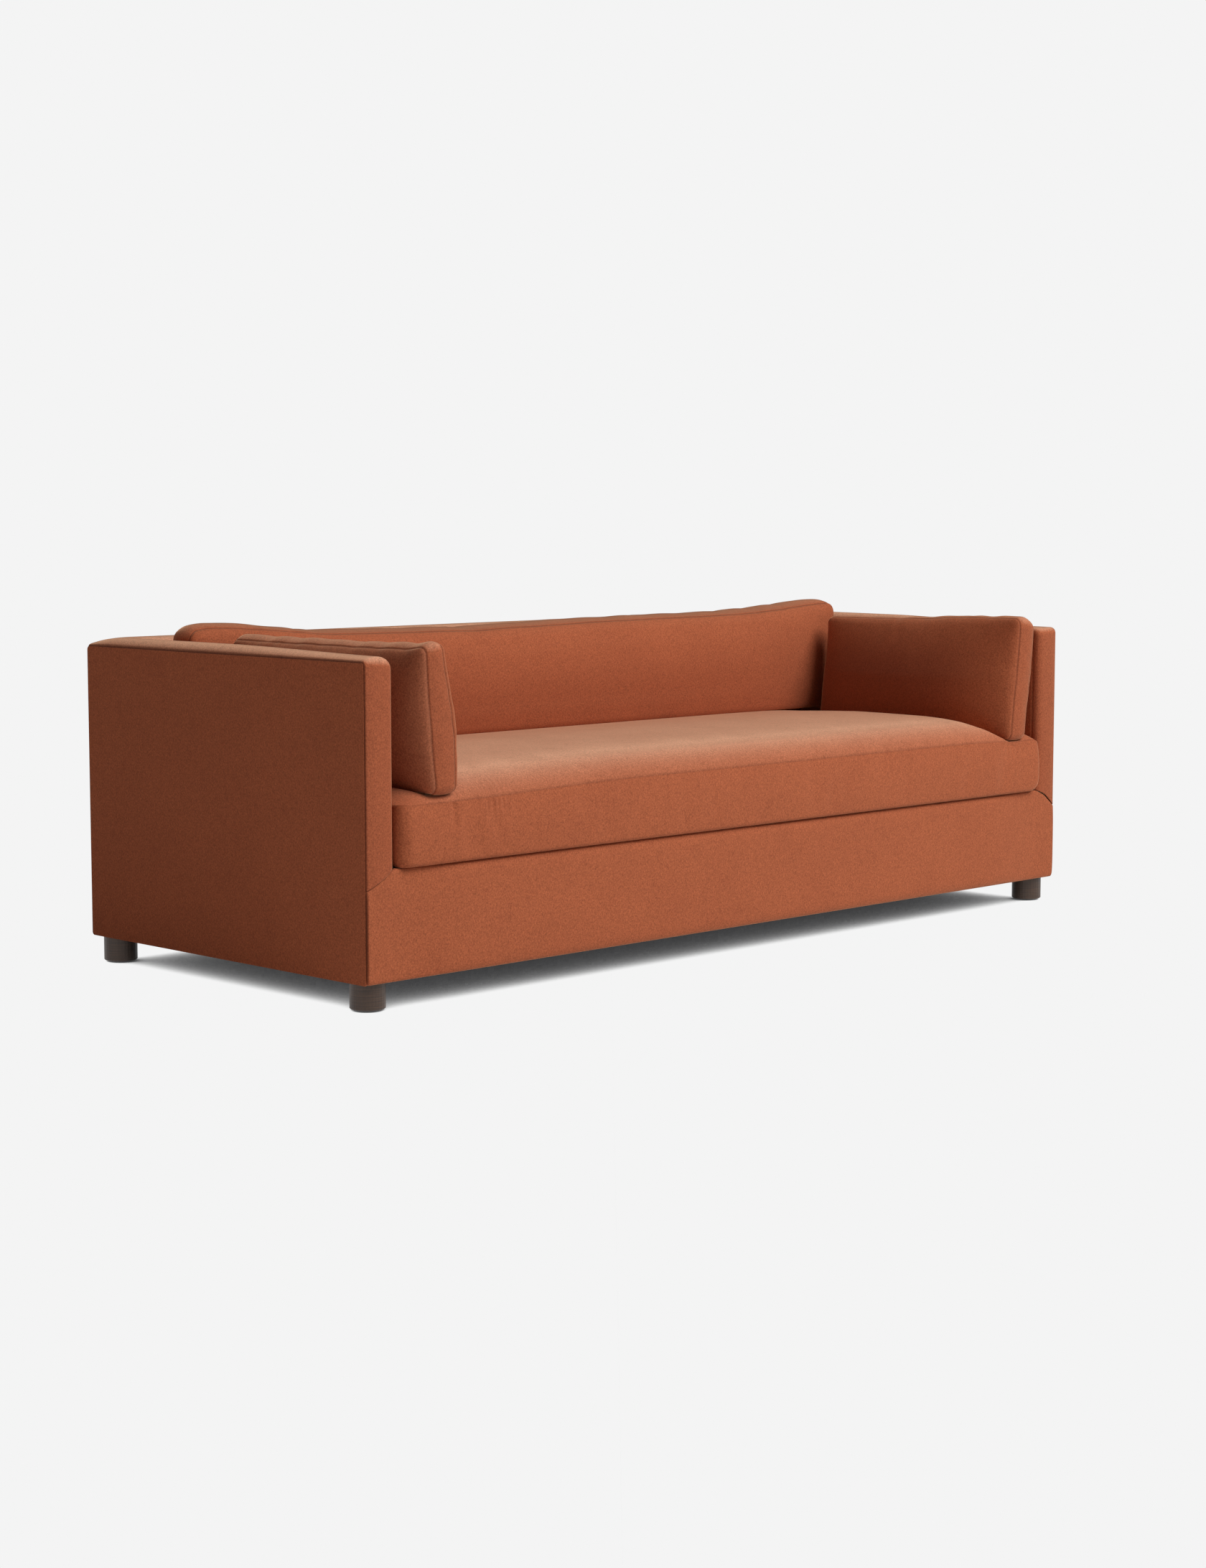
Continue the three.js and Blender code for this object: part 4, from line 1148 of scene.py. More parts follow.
@dataclass
class Band:
    """A padded band with a seam along its outer edge, turned down behind its inner edge."""

    outer_roll: float = 3 * MM
    inner_roll: float = 13 * MM
    drop: float = 12 * MM
    wall: float = 2.5 * MM
    clearance: float = 0.5 * MM
    mitre_gap: float = 0.3 * MM
    edge_gap: float = 0.2 * MM
    across_cell: float = 6 * MM
    # Painted sheen along the top's middle
    top_painted_sheen: float = 0.9

    def section(self, across: Array, width: float, crest: Array) -> Array:
        """Height of the band over the seam's plane.

        Args:
            across: Distance from the outer seam.
            width: Width of the band.
            crest: Height of the band's middle over its rolled outer edge.

        Returns:
            The heights.
        """
        outer = self.outer_roll * roll(across, self.outer_roll)
        inner = (self.drop + self.outer_roll) * (1 - roll(width - across, self.inner_roll))
        return outer - inner + crest * dome(2 * across / width - 1, 2.6)


@dataclass
class ArmBand(Band):
    """The band over the top and down the front of an arm, padded, with a seam along the panel."""

    side: Side = Side.LEFT
    crest_front: float = 7.5 * MM
    crest_top: float = 21 * MM
    crest_turn: float = 12 * MM
    bend_outer: float = 7 * MM
    bend_inner: float = 17 * MM
    dip: float = 0.0
    # Painted shade down the front
    front_painted_shade: float = -0.3
    # Lengths that the stations along the top and down the front are worked out for
    top_length: float = 0.98
    front_length: float = 0.45
    cell: float = 14 * MM
    turn_steps: int = 9

    def build(self) -> Piece:
        """Makes the band: rows of points run from the rear, over the bend and down to the border.

        Returns:
            The band.
        """
        width = SIDE_OUT - ARM_IN - self.clearance
        across = strip_stations(width, self.across_cell)
        share = (across / width)[None, :]
        top = strip_stations(self.top_length, self.cell)[:, None] / self.top_length
        down = strip_stations(self.front_length, self.cell)[:, None] / self.front_length
        turn = np.linspace(0, math.pi / 2, self.turn_steps)[1:-1, None] + 0 * share
        bend = self.bend_outer + (self.bend_inner - self.bend_outer) * share
        rear = REAR - (REAR - BACK_IN) * share - self.mitre_gap
        foot = slanted(self.side, SIDE_OUT - share * width)
        top_y = rear + (FRONT + bend - rear) * top
        down_z = SEAM_TOP - bend + (foot - SEAM_TOP + bend) * down
        flat, steep = np.ones_like(top_y), np.ones_like(down_z)
        y = np.concatenate([top_y, FRONT + bend - bend * np.sin(turn), FRONT * steep])
        z = np.concatenate([SEAM_TOP * flat, SEAM_TOP - bend + bend * np.cos(turn), down_z])
        angle = np.concatenate([0 * flat, turn, math.pi / 2 * steep])
        rise = (self.crest_top - self.crest_turn) * smooth_step(-0.55, 0.05, top_y)
        crest = np.concatenate([
            roll(REAR - top_y, REAR - BACK_IN) * (self.crest_turn + rise),
            self.crest_turn + (self.crest_front - self.crest_turn) * (turn * 2 / math.pi),
            self.crest_front * steep,
        ])
        ends = np.concatenate([
            np.minimum(top * (rear - FRONT), 1), np.ones_like(turn),
            np.minimum((1 - down) * (SEAM_TOP - foot), 1),
        ])
        height = self.section(across[None, :], width, crest - self.outer_roll) + JOIN_SEAM.relief(ends)
        height = height + (EDGE_SEAM.relief(across) + SEAM.relief(width - across))[None, :]
        x = self.side.sign * (SIDE_OUT - self.edge_gap - share * width) + 0 * y
        dips = self.dip * np.concatenate([front_share(top_y), np.ones_like(turn), (1 - down) * steep])
        z = z - corner_dip(x, y) * np.cos(angle) - dips
        outer = np.stack([x, y - height * np.sin(angle), z + height * np.cos(angle)], axis=-1)
        # Painted shade along the seams, painted sheen along the top and painted shade down the front
        painted_seam_shade = np.maximum(JOIN_SEAM.mark(ends), EDGE_SEAM.mark(across)[None, :])
        painted_light = self.top_painted_sheen * np.cos(angle) * dome(2 * share - 1, 6) + self.front_painted_shade * np.sin(angle)
        return velvet_layer(f"arm_band_velvet_{self.side.value}", outer, painted_seam_shade, self.wall, painted_light)


@dataclass
class BackBand(Band):
    """The band over the top of the back, mitred into both arm bands."""

    crest: float = 20 * MM
    outer_roll: float = 4 * MM
    inner_roll: float = 16 * MM
    across_cell: float = 8 * MM
    # Length that the stations along the band are worked out for
    length: float = 2.4
    cell: float = 20 * MM

    def build(self) -> Piece:
        """Makes the band: rows of points run from the left mitre to the right one.

        Returns:
            The band.
        """
        width = REAR - BACK_IN - self.clearance
        across = strip_stations(width, self.across_cell)
        share = (across / width)[None, :]
        along = strip_stations(self.length, self.cell)[:, None] / self.length
        reach = SIDE_OUT - (SIDE_OUT - ARM_IN) * share - self.mitre_gap
        x = -reach + 2 * reach * along
        y = REAR - self.edge_gap - share * width + 0 * x
        end = reach - np.abs(x)
        crest = roll(SIDE_OUT - np.abs(x), SIDE_OUT - ARM_IN) * (self.crest - self.outer_roll)
        height = self.section(across[None, :], width, crest)
        height = height + JOIN_SEAM.relief(end) + EDGE_SEAM.relief(across)[None, :]
        outer = np.stack([x, y, SEAM_TOP - corner_dip(x, y) + height], axis=-1)
        # Painted shade along the seams and painted sheen along the band's middle
        painted_seam_shade = np.maximum(JOIN_SEAM.mark(end), EDGE_SEAM.mark(across)[None, :])
        painted_light = self.top_painted_sheen * dome(2 * share - 1, 6)
        return velvet_layer("back_band_velvet", outer, painted_seam_shade, self.wall, painted_light)


@dataclass
class FrontBorder:
    """The wide band under the seat, whose top corners run slanting under the arm bands."""

    edge: float = 5 * MM
    low_crown: float = 2 * MM
    full_crown: float = 9 * MM
    full_reach: tuple[float, float] = (0.93, 1.138)
    free_reach: tuple[float, float] = (1.134, 1.142)
    drop: float = 10 * MM
    foot_drop: float = 10 * MM
    top_roll: float = 2.5 * MM
    foot_roll: float = 7 * MM
    foot_corner: float = 9 * MM
    wall: float = 2.5 * MM
    end_gap: float = 0.4 * MM
    cell: float = 16 * MM
    # Height that the stations up the border are worked out for, and their distance
    up_height: float = 0.24
    up_cell: float = 10 * MM
    # Along the slant the stations lie closer: first, last and step, and the gap they are put into
    slant: tuple[float, float, float] = (1.131, 1.212, 4 * MM)
    slant_gap: tuple[float, float] = (1.128, 1.214)

    def build(self) -> Piece:
        """Makes the border: rows of points run from left to right.

        Returns:
            The border.
        """
        width = 2 * (SIDE_OUT - self.end_gap)
        fine, (first, last) = np.arange(*self.slant), self.slant_gap
        along = strip_stations(width, self.cell) - width / 2
        along = along[(np.abs(along) < first) | (np.abs(along) > last)]
        along = np.sort(np.concatenate([along, fine, -fine]))[:, None]
        share = strip_stations(self.up_height, self.up_cell)[None, :] / self.up_height
        top = np.where(along < 0, slanted(Side.LEFT, -along), slanted(Side.RIGHT, along))
        end = width / 2 - np.abs(along)
        foot = BODY_BOTTOM + self.foot_corner * (1 - roll(end, self.foot_corner))
        height = top - foot
        from_top, from_foot = height * (1 - share), height * share
        free = 1 - smooth_step(*self.free_reach, np.abs(along))
        full = 1 - smooth_step(*self.full_reach, np.abs(along))
        crown = self.low_crown * dome(2 * share - 1, 4) + full * self.full_crown * dome(2 * share - 1, 20)
        out = self.edge * roll(end, self.edge) + crown
        out = out - free * (self.drop + self.edge) * (1 - roll(from_top, self.top_roll))
        out = out - (1 - free) * (self.edge * (1 - roll(from_top, self.edge)))
        out = out - self.foot_drop * (1 - roll(from_foot, self.foot_roll))
        out = out + EDGE_SEAM.relief(end) + (1 - free) * JOIN_SEAM.relief(from_top)
        outer = np.stack([along + 0 * share, FRONT - out, foot + height * share], axis=-1)
        # Painted shade along the seams
        painted_seam_shade = np.maximum(EDGE_SEAM.mark(end), (1 - free) * JOIN_SEAM.mark(from_top))
        return velvet_layer("front_border_velvet", outer, painted_seam_shade, self.wall, np.zeros_like(painted_seam_shade))


# The seam between the front border and an arm's band: distance from the sofa's middle, and height
SLANTS = {
    Side.LEFT: ((1.1385, 0.3065), (1.150, 0.3030), (1.160, 0.2945), (1.1766, 0.2849), (1.198, 0.2734),
                (1.220, 0.2630)),
    Side.RIGHT: ((1.1385, 0.3055), (1.1524, 0.3009), (1.1759, 0.2915), (1.1962, 0.2760), (1.220, 0.2580)),
}


def slanted(side: Side, place: Array) -> Array:
    """Height of the slanting seam at a distance from the sofa's middle."""
    return np.interp(place, *np.array(SLANTS[side]).T)


def front_share(y: Array) -> Array:
    """0 at the rear of the sofa, rising evenly to 1 at the front of the arms."""
    return (REAR - y) / (REAR - FRONT)


def corner_dip(x: Array, y: Array) -> Array:
    """How far the top is drawn down at the two outer rear corners, which three seams pull round.

    Args:
        x: Place along the sofa.
        y: Place from front to rear.

    Returns:
        The distances.
    """
    near_side = np.clip(np.abs(x) - SIDE_OUT + REAR_CORNER, 0, REAR_CORNER)
    near_rear = np.clip(y - REAR + REAR_CORNER, 0, REAR_CORNER)
    return REAR_CORNER - np.sqrt(REAR_CORNER**2 - np.minimum(near_side, near_rear) ** 2)


def velvet_layer(name: str, outer: Array, painted_seam_shade: Array, wall: float, painted_light: Array) -> Piece:
    """Makes a padded layer of its outer face: a closed shell with a wall.

    Args:
        name: Name of the piece.
        outer: Grid of points of the face that shows.
        painted_seam_shade: Painted shade of the seams' hollows at each point.
        wall: Thickness of the shell.
        painted_light: Painted light at each point: a painted sheen where positive, painted shade where
            negative.

    Returns:
        The piece.
    """
    rows, columns = outer.shape[:2]
    piece = mesh_piece(name, outer.reshape(-1, 3), grid_faces(rows, columns))
    store(piece, "seam", np.broadcast_to(painted_seam_shade, (rows, columns)).ravel())
    store(piece, "painted_light", np.broadcast_to(painted_light, (rows, columns)).ravel())
    middle = outer[rows // 2, columns // 2]
    outwards = Vector((middle[0], middle[1], middle[2] - BODY_MIDDLE))
    polygons = piece.data.polygons
    if polygons[len(polygons) // 2].normal.dot(outwards) < 0:
        edit_all(piece, bpy.ops.mesh.flip_normals)
    apply_modifier(piece, "SOLIDIFY", thickness=wall, offset=-1)
    face_outwards(piece)
    refine(piece)
    bpy.ops.object.shade_smooth()
    return piece


def panel_board(name: str, low: Sequence[float], high: Sequence[float], edge: float,
                corners: dict[tuple[int, int, int], float] | None = None) -> Piece:
    """Makes an upholstered board: a block with rounded corners and edges.

    Args:
        name: Name of the piece.
        low: Its lowest corner.
        high: Its highest corner.
        edge: Radius of its edges.
        corners: Radius of an edge across the board, by the signs of the place it lies at; the axis
            along which it runs has a zero.

    Returns:
        The piece.
    """
    deselect()
    centre = [(a + b) / 2 for a, b in zip(low, high)]
    bpy.ops.mesh.primitive_cube_add(size=1, location=centre, scale=[b - a for a, b in zip(low, high)])
    piece = bpy.context.active_object
    piece.name = name
    bpy.ops.object.transform_apply(location=True, rotation=True, scale=True)
    bpy.ops.object.mode_set(mode="EDIT")
    for place, radius in (corners or {}).items():
        select_edges(piece, partial(lies_at, centre=centre, place=place))
        bpy.ops.mesh.bevel(offset=radius, segments=6, affect="EDGES", clamp_overlap=True)
    bpy.ops.mesh.select_all(action="SELECT")
    bpy.ops.mesh.bevel(offset=edge, segments=4, affect="EDGES", clamp_overlap=True)
    bpy.ops.object.mode_set(mode="OBJECT")
    bpy.ops.object.shade_smooth_by_angle(angle=math.radians(40))
    apply_modifier(piece, "WEIGHTED_NORMAL", weight=100)
    return piece


def lies_at(edge: bmesh.types.BMEdge, centre: Sequence[float], place: Sequence[int]) -> bool:
    """Whether an edge of a block lies at a place.

    Args:
        edge: The edge.
        centre: Middle of the block.
        place: Signs of the sides that the edge lies on; the axis along which it runs has a zero.

    Returns:
        Whether it lies there.
    """
    ends = [corner.co - Vector(centre) for corner in edge.verts]
    runs = all(abs((ends[0] - ends[1])[axis]) < TOLERANCE for axis in range(3) if place[axis])
    return runs and all(ends[0][axis] * place[axis] >= 0 for axis in range(3))


# Finishes


def linear(hex_colour: str) -> tuple[float, float, float, float]:
    """Turns an sRGB hex colour into linear values with full opacity."""
    parts = [int(hex_colour[i:i + 2], 16) / 255 for i in (1, 3, 5)]
    return (*[p / 12.92 if p <= 0.04045 else ((p + 0.055) / 1.055) ** 2.4 for p in parts], 1.0)


def add(tree: Tree, kind: str, inputs: dict[str | int, object] | None = None,
        **settings: object) -> bpy.types.Node:
    """Adds a node, sets its properties, and fills or links its inputs.

    Args:
        tree: The material's node tree.
        kind: Blender's name of the node type, less the "ShaderNode" that it starts with.
        inputs: For each input's name or index, a value or the output that feeds it.
        settings: Properties of the node.

    Returns:
        The node.
    """
    node = tree.nodes.new(f"ShaderNode{kind}")
    for name, value in settings.items():
        setattr(node, name, value)
    for name, value in (inputs or {}).items():
        if isinstance(value, Socket):
            tree.links.new(value, node.inputs[name])
        else:
            node.inputs[name].default_value = value
    return node


def finished(name: str, pattern: Callable[[Tree], tuple[Socket, Socket]],
             values: dict[str, object]) -> bpy.types.Material:
    """Makes a material on a Principled shader.

    Args:
        name: Name of the finish.
        pattern: Draws the finish in a node tree and returns the outputs of its colour and its normal.
        values: Constants of the shader's sockets.

    Returns:
        The material.
    """
    made = bpy.data.materials.new(name)
    made.use_nodes = True
    shader = made.node_tree.nodes["Principled BSDF"]
    for socket, output in zip(("Base Color", "Normal"), pattern(made.node_tree)):
        made.node_tree.links.new(output, shader.inputs[socket])
    for socket, value in values.items():
        shader.inputs[socket].default_value = value
    return made


@dataclass(frozen=True)
class Velvet:
    """Cotton velvet: a dense cut pile. It scatters light along its edges; painted sheen lightens its tops,
    and painted shade darkens its seams and faces turned from the light.
    """

    name: str = "cotton_velvet"
    colour: str = "#a75b3b"
    deep: str = "#82402a"
    # Painted shade in the hollows of the seams
    painted_groove_colour: str = "#44190e"
    # Painted sheen that lightens the tops, and painted shade that darkens faces turned from the light
    painted_sheen_colour: str = "#ebb290"
    painted_shade_colour: str = "#6d3020"
    sheen: str = "#ffd0a6"
    contrast: float = 0.27
    # The tufts of the pile are finer than this, and are drawn as coarse as they need to show
    speck: float = 3.6 * MM
    stroke: float = 28 * MM
    cloud: float = 140 * MM
    relief: float = 0.6 * MM

    def material(self) -> bpy.types.Material:
        """Makes the material: rough, hardly glossy, with a warm sheen along its edges."""
        return finished(self.name, self.pattern, {
            "Roughness": 0.85, "Specular IOR Level": 0.15, "Sheen Weight": 0.85, "Sheen Roughness": 0.32,
            "Sheen Tint": linear(self.sheen)})

    def pattern(self, tree: Tree) -> tuple[Socket, Socket]:
        """Draws the pile: painted sheen and painted shade, clouded, smudged, speckled, and painted shade in
        the seams.

        Args:
            tree: The material's node tree.

        Returns:
            The outputs of the colour and the normal.
        """
        here = add(tree, "TexCoord").outputs["Object"]
        # The patterns are turned, so that no face of the sofa lies along their grid
        place = add(tree, "Mapping", {"Vector": here, "Rotation": (0.6, 0.4, 0.8)}).outputs["Vector"]
        speck, stroke, cloud = (add(tree, "TexNoise", {
            "Vector": place, "Scale": 1 / size, "Detail": detail, "Roughness": roughness, "Distortion": twist,
        }).outputs["Fac"] for size, detail, roughness, twist in (
            (self.speck, 2.0, 0.6, 0.0), (self.stroke, 4.0, 0.6, 1.2), (self.cloud, 2.0, 0.5, 0.0)))
        fine, smudge, drift = (add(tree, "MapRange", {
            "Value": noise, "From Min": first, "From Max": last, "To Min": low, "To Max": high,
        }, clamp=clamp).outputs["Result"] for noise, first, last, low, high, clamp in (
            (speck, 0.3, 0.7, 1 - self.contrast, 1 + self.contrast, False),
            (stroke, 0.56, 0.75, 0.0, 0.3, True), (cloud, 0.35, 0.65, 0.0, 0.1, True)))
        painted_light, seam = (add(tree, "Attribute", attribute_name=name).outputs["Fac"] for name in ("painted_light", "seam"))
        # Shares of painted sheen where the painted-light attribute is positive, and of painted shade where it
        # is negative
        painted_sheen_share, painted_shade_share = (
            add(tree, "Math", {0: painted_light, 1: share}, operation="MULTIPLY", use_clamp=True).outputs[0]
            for share in (0.85, -0.6))
        colour = linear(self.colour)
        for share, laid in ((painted_sheen_share, self.painted_sheen_colour), (painted_shade_share, self.painted_shade_colour), (drift, self.deep),
                            (smudge, self.deep)):
            colour = add(tree, "Mix", {0: share, 6: colour, 7: linear(laid)}, data_type="RGBA").outputs[2]
        grained = add(tree, "Mix", {0: 1.0, 6: colour, 7: fine}, data_type="RGBA", blend_type="MULTIPLY")
        # Painted shade along the seams' hollows, by the seam attribute
        with_painted_groove = add(tree, "Mix", {0: seam, 6: grained.outputs[2], 7: linear(self.painted_groove_colour)}, data_type="RGBA")
        bump = add(tree, "Bump", {"Height": speck, "Strength": 0.1, "Distance": self.relief})
        return with_painted_groove.outputs[2], bump.outputs["Normal"]


@dataclass(frozen=True)
class Streaked:
    """A finish with long streaks or fibres: stained wood, raw timber, woven straps, cloth, brushed metal."""

    name: str
    light: str
    dark: str
    streak: tuple[float, float, float]
    roughness: float = 0.5
    metallic: float = 0.0
    bump: float = 0.2 * MM

    def material(self) -> bpy.types.Material:
        """Makes the material."""
        return finished(self.name, self.pattern, {"Roughness": self.roughness, "Metallic": self.metallic})

    def pattern(self, tree: Tree) -> tuple[Socket, Socket]:
        """Draws the streaks.

        Args:
            tree: The material's node tree.

        Returns:
            The outputs of the colour and the normal.
        """
        here = add(tree, "TexCoord").outputs["Object"]
        place = add(tree, "Mapping", {"Vector": here, "Scale": [1 / size for size in self.streak]})
        fibres = add(tree, "TexNoise", {
            "Vector": place.outputs["Vector"], "Scale": 1.0, "Detail": 4.0, "Roughness": 0.65}).outputs["Fac"]
        share = add(tree, "MapRange", {
            "Value": fibres, "From Min": 0.35, "From Max": 0.65, "To Min": 0.0, "To Max": 1.0})
        colour = add(tree, "Mix", {
            0: share.outputs["Result"], 6: linear(self.dark), 7: linear(self.light)}, data_type="RGBA")
        bump = add(tree, "Bump", {"Height": fibres, "Strength": 0.5, "Distance": self.bump})
        return colour.outputs[2], bump.outputs["Normal"]


# Stained ash: dark brown, an open grain of streaks that run round the turned leg, satin lacquer
LEG_WOOD = Streaked("stained_ash", "#4f3a2b", "#33241b", (90 * MM, 90 * MM, 1.6 * MM), 0.45)
# Moulded polypropylene: black and faintly grained
GLIDE = Streaked("moulded_polypropylene", "#202020", "#161616", (0.8 * MM, 0.8 * MM, 0.8 * MM), 0.5)
# Zinc-plated steel: bright, drawn along the bolt
STEEL = Streaked("zinc_plated_steel", "#c4c6c8", "#a2a5a8", (6 * MM, 6 * MM, 0.7 * MM), 0.35, 1.0, 0.05 * MM)
# Kiln-dried poplar: pale, with long greenish-grey figure
TIMBER = Streaked("poplar_timber", "#d3bb92", "#b99c6f", (220 * MM, 9 * MM, 9 * MM), 0.7)
# Jute webbing: coarse brown yarns
JUTE = Streaked("jute_webbing", "#a98a5c", "#856a42", (2.4 * MM, 2.4 * MM, 2.4 * MM), 0.9, 0.0, 0.5 * MM)
# Cotton duck deck cloth: dyed black, a close plain weave that shows as a faint grain
DUCK = Streaked("cotton_duck", "#37373a", "#29292b", (1.6 * MM, 1.6 * MM, 1.6 * MM), 0.9)
# Spun-bonded cambric: black felted fibres
CAMBRIC = Streaked("spun_cambric", "#2b2b2b", "#1b1b1b", (3.0 * MM, 3.0 * MM, 3.0 * MM), 0.9)


# The sub-assemblies


@dataclass
class LooseCushions:
    """The four loose cushions that lift off."""

    velvet: bpy.types.Material
    seat: SeatCushion = field(default_factory=SeatCushion)
    back: BackCushion = field(default_factory=BackCushion)

    def pillows(self) -> list[ArmPillow]:
        """Gives the two arm pillows, each slumped a little in its own way.

        Returns:
            The left pillow and the right one.
        """
        left = ArmPillow("arm_pillow_left", "arm_pillow_left", side=Side.LEFT, inner_edge=13 * MM, crest=(
            (-0.515, 0.789), (-0.495, 0.787), (-0.455, 0.782), (-0.3, 0.780), (0.16, 0.781)))
        seam = (0.994, 0.999, 1.006, 1.015, 1.020, 1.0265, 1.0292, 1.030)
        right = ArmPillow("arm_pillow_right", "arm_pillow_right", side=Side.RIGHT, inner_seam=seam,
                          outer_seam=tuple(place + 56 * MM for place in seam), foot_drop=self.seat.foot_sink)
        return [left, right]

    def build(self) -> None:
        """Makes the covers, dresses them and lets them ride on their bodies."""
        for cushion in (self.seat, self.back, *self.pillows()):
            cover = cushion.build()
            cover.data.materials.append(self.velvet)
            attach(cover, cushion.body)
            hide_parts(f"{cushion.body}_cover", f"{cushion.body}_core")
            LOG.info("cushion %s: %d faces", cover.name, len(cover.data.polygons))


@dataclass(frozen=True)
class ArmShape:
    """What differs between the two arms, which were each drawn over by hand."""

    crest_turn: float
    band_bend: float
    panel_bend: float
    dip: float


@dataclass
class FixedUpholstery:
    """The velvet that is drawn over the frame; the right arm's top falls a little to the front."""

    velvet: bpy.types.Material
    board: float = 4 * MM
    board_edge: float = 1.9 * MM
    back_edge: float = 1.0 * MM
    pad_edge: float = 8 * MM
    gap: float = 0.3 * MM
    # Radius of an outside arm's lower corner at the front and at the rear
    foot_bends: tuple[float, float] = (5 * MM, 8 * MM)
    dip_reach: float = 30 * MM
    shapes: dict[Side, ArmShape] = field(default_factory=lambda: {
        Side.LEFT: ArmShape(crest_turn=12 * MM, band_bend=7 * MM, panel_bend=6 * MM, dip=0.0),
        Side.RIGHT: ArmShape(crest_turn=2 * MM, band_bend=12 * MM, panel_bend=11 * MM, dip=5 * MM),
    })

    def build(self) -> None:
        """Makes every fixed panel and band."""
        for side, shape in self.shapes.items():
            band = ArmBand(side=side, crest_turn=shape.crest_turn, bend_outer=shape.band_bend, dip=shape.dip)
            self.keep(band.build(), f"arm_band_{side.value}")
            self.keep(self.outside_arm(side, shape), f"outside_arm_{side.value}")
            self.keep(self.inside_arm(side), f"inside_arm_{side.value}")
        self.keep(BackBand().build(), "back_band")
        self.keep(FrontBorder().build(), "front_border")
        self.keep(self.outside_back(), "outside_back")
        self.keep(self.inside_back(), "inside_back")

    def outside_arm(self, side: Side, shape: ArmShape) -> Piece:
        """Makes the flat outer panel of an arm.

        Args:
            side: Which arm.
            shape: That arm's own shape.

        Returns:
            The panel.
        """
        near, far = sorted((side.sign * (SIDE_OUT - self.board), side.sign * SIDE_OUT))
        front_foot, rear_foot = self.foot_bends
        corners = {(0, -1, 1): shape.panel_bend, (0, 1, 1): REAR_CORNER, (0, -1, -1): front_foot,
                   (0, 1, -1): rear_foot}
        panel = panel_board(f"outside_arm_velvet_{side.value}", (near, FRONT + self.gap, BODY_BOTTOM),
                            (far, REAR, SEAM_TOP - self.gap), self.board_edge, corners)
        for corner in panel.data.vertices:
            if corner.co.z > SEAM_TOP - self.dip_reach:
                corner.co.z -= shape.dip * front_share(corner.co.y)
        return panel

    def inside_arm(self, side: Side) -> Piece:
        """Makes the padded inner face of an arm."""
        low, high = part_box(f"inside_arm_{side.value}")
        return panel_board(f"inside_arm_velvet_{side.value}", low, high, self.pad_edge)

    def outside_back(self) -> Piece:
        """Makes the flat rear panel, whose edge is finer than the steps of its round corners."""
        corners = {(-1, 0, 1): REAR_CORNER, (1, 0, 1): REAR_CORNER}
        return panel_board("outside_back_velvet", *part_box("outside_back"), self.back_edge, corners)

    def inside_back(self) -> Piece:
        """Makes the padded front face of the back."""
        return panel_board("inside_back_velvet", *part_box("inside_back"), self.pad_edge)

    def keep(self, piece: Piece, node: str) -> None:
        """Dresses a piece and lets it stand for its CAD node.

        Args:
            piece: The finished piece.
            node: Name of the node that it replaces.
        """
        piece.data.materials.clear()
        piece.data.materials.append(self.velvet)
        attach(piece, "sofa_body")
        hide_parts(node)
        LOG.info("upholstery %s: %d faces", piece.name, len(piece.data.polygons))


@dataclass
class FrameParts:
    """The CAD nodes that are kept: legs, fastenings, timber, webbing and linings."""

    finishes: dict[str, Streaked] = field(default_factory=lambda: {
        "leg_block": TIMBER, "leg_": LEG_WOOD, "glide_": GLIDE, "hanger_bolt": STEEL, "tee_nut": STEEL,
        "seat_webbing": JUTE, "back_webbing": JUTE, "seat_deck": DUCK, "dust_cover": CAMBRIC,
    })

    def build(self) -> None:
        """Gives every node that shows its finish; timber is what the table doesn't name."""
        made: dict[str, bpy.types.Material] = {}
        for name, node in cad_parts.items():
            if node.hide_render:
                continue
            finish = next((f for start, f in self.finishes.items() if name.startswith(start)), TIMBER)
            if finish.name not in made:
                made[finish.name] = finish.material()
            node.data.materials.clear()
            node.data.materials.append(made[finish.name])
            LOG.info("frame part %s: %s", name, finish.name)


def show(tree: Tree, lit: bpy.types.Node, seen: bpy.types.Node, output: str) -> None:
    """Gives one shader to the light, and another to the camera, to gloss and to glass.

    Args:
        tree: The node tree.
        lit: The shader that gives or takes light.
        seen: The shader that is seen.
        output: Node type of the tree's output.
    """
    path = add(tree, "LightPath").outputs
    gloss = add(tree, "Math", {0: path["Is Camera Ray"], 1: path["Is Glossy Ray"]}, operation="MAXIMUM")
    share = add(tree, "Math", {0: gloss.outputs[0], 1: path["Is Transmission Ray"]}, operation="MAXIMUM")
    mix = add(tree, "MixShader", {0: share.outputs[0], 1: lit.outputs[0], 2: seen.outputs[0]})
    add(tree, output, {"Surface": mix.outputs[0]})


@dataclass(frozen=True)
class SoftBox:
    """A lamp with a soft face, which the camera doesn't see."""

    name: str
    shape: str
    place: tuple[float, float, float]
    aim: tuple[float, float, float]
    size: tuple[float, float]
    power: float
    colour: str = "#ffffff"

    def build(self) -> None:
        """Hangs the lamp at its place and turns it to where it is aimed."""
        lamp = bpy.data.lights.new(self.name, "AREA")
        lamp.shape, lamp.energy = self.shape, self.power
        lamp.size, lamp.size_y = self.size
        lamp.color = linear(self.colour)[:3]
        holder = bpy.data.objects.new(self.name, lamp)
        bpy.context.scene.collection.objects.link(holder)
        holder.location = self.place
        holder.rotation_euler = (Vector(self.aim) - Vector(self.place)).to_track_quat("-Z", "Y").to_euler()
        holder.visible_camera = False


# A wide round one, above and to the right of the front
KEY = SoftBox("key", "DISK", (2.6, -7.0, 8.3), (0.0, 0.0, BODY_MIDDLE), (7.2, 7.2), 1170.0)
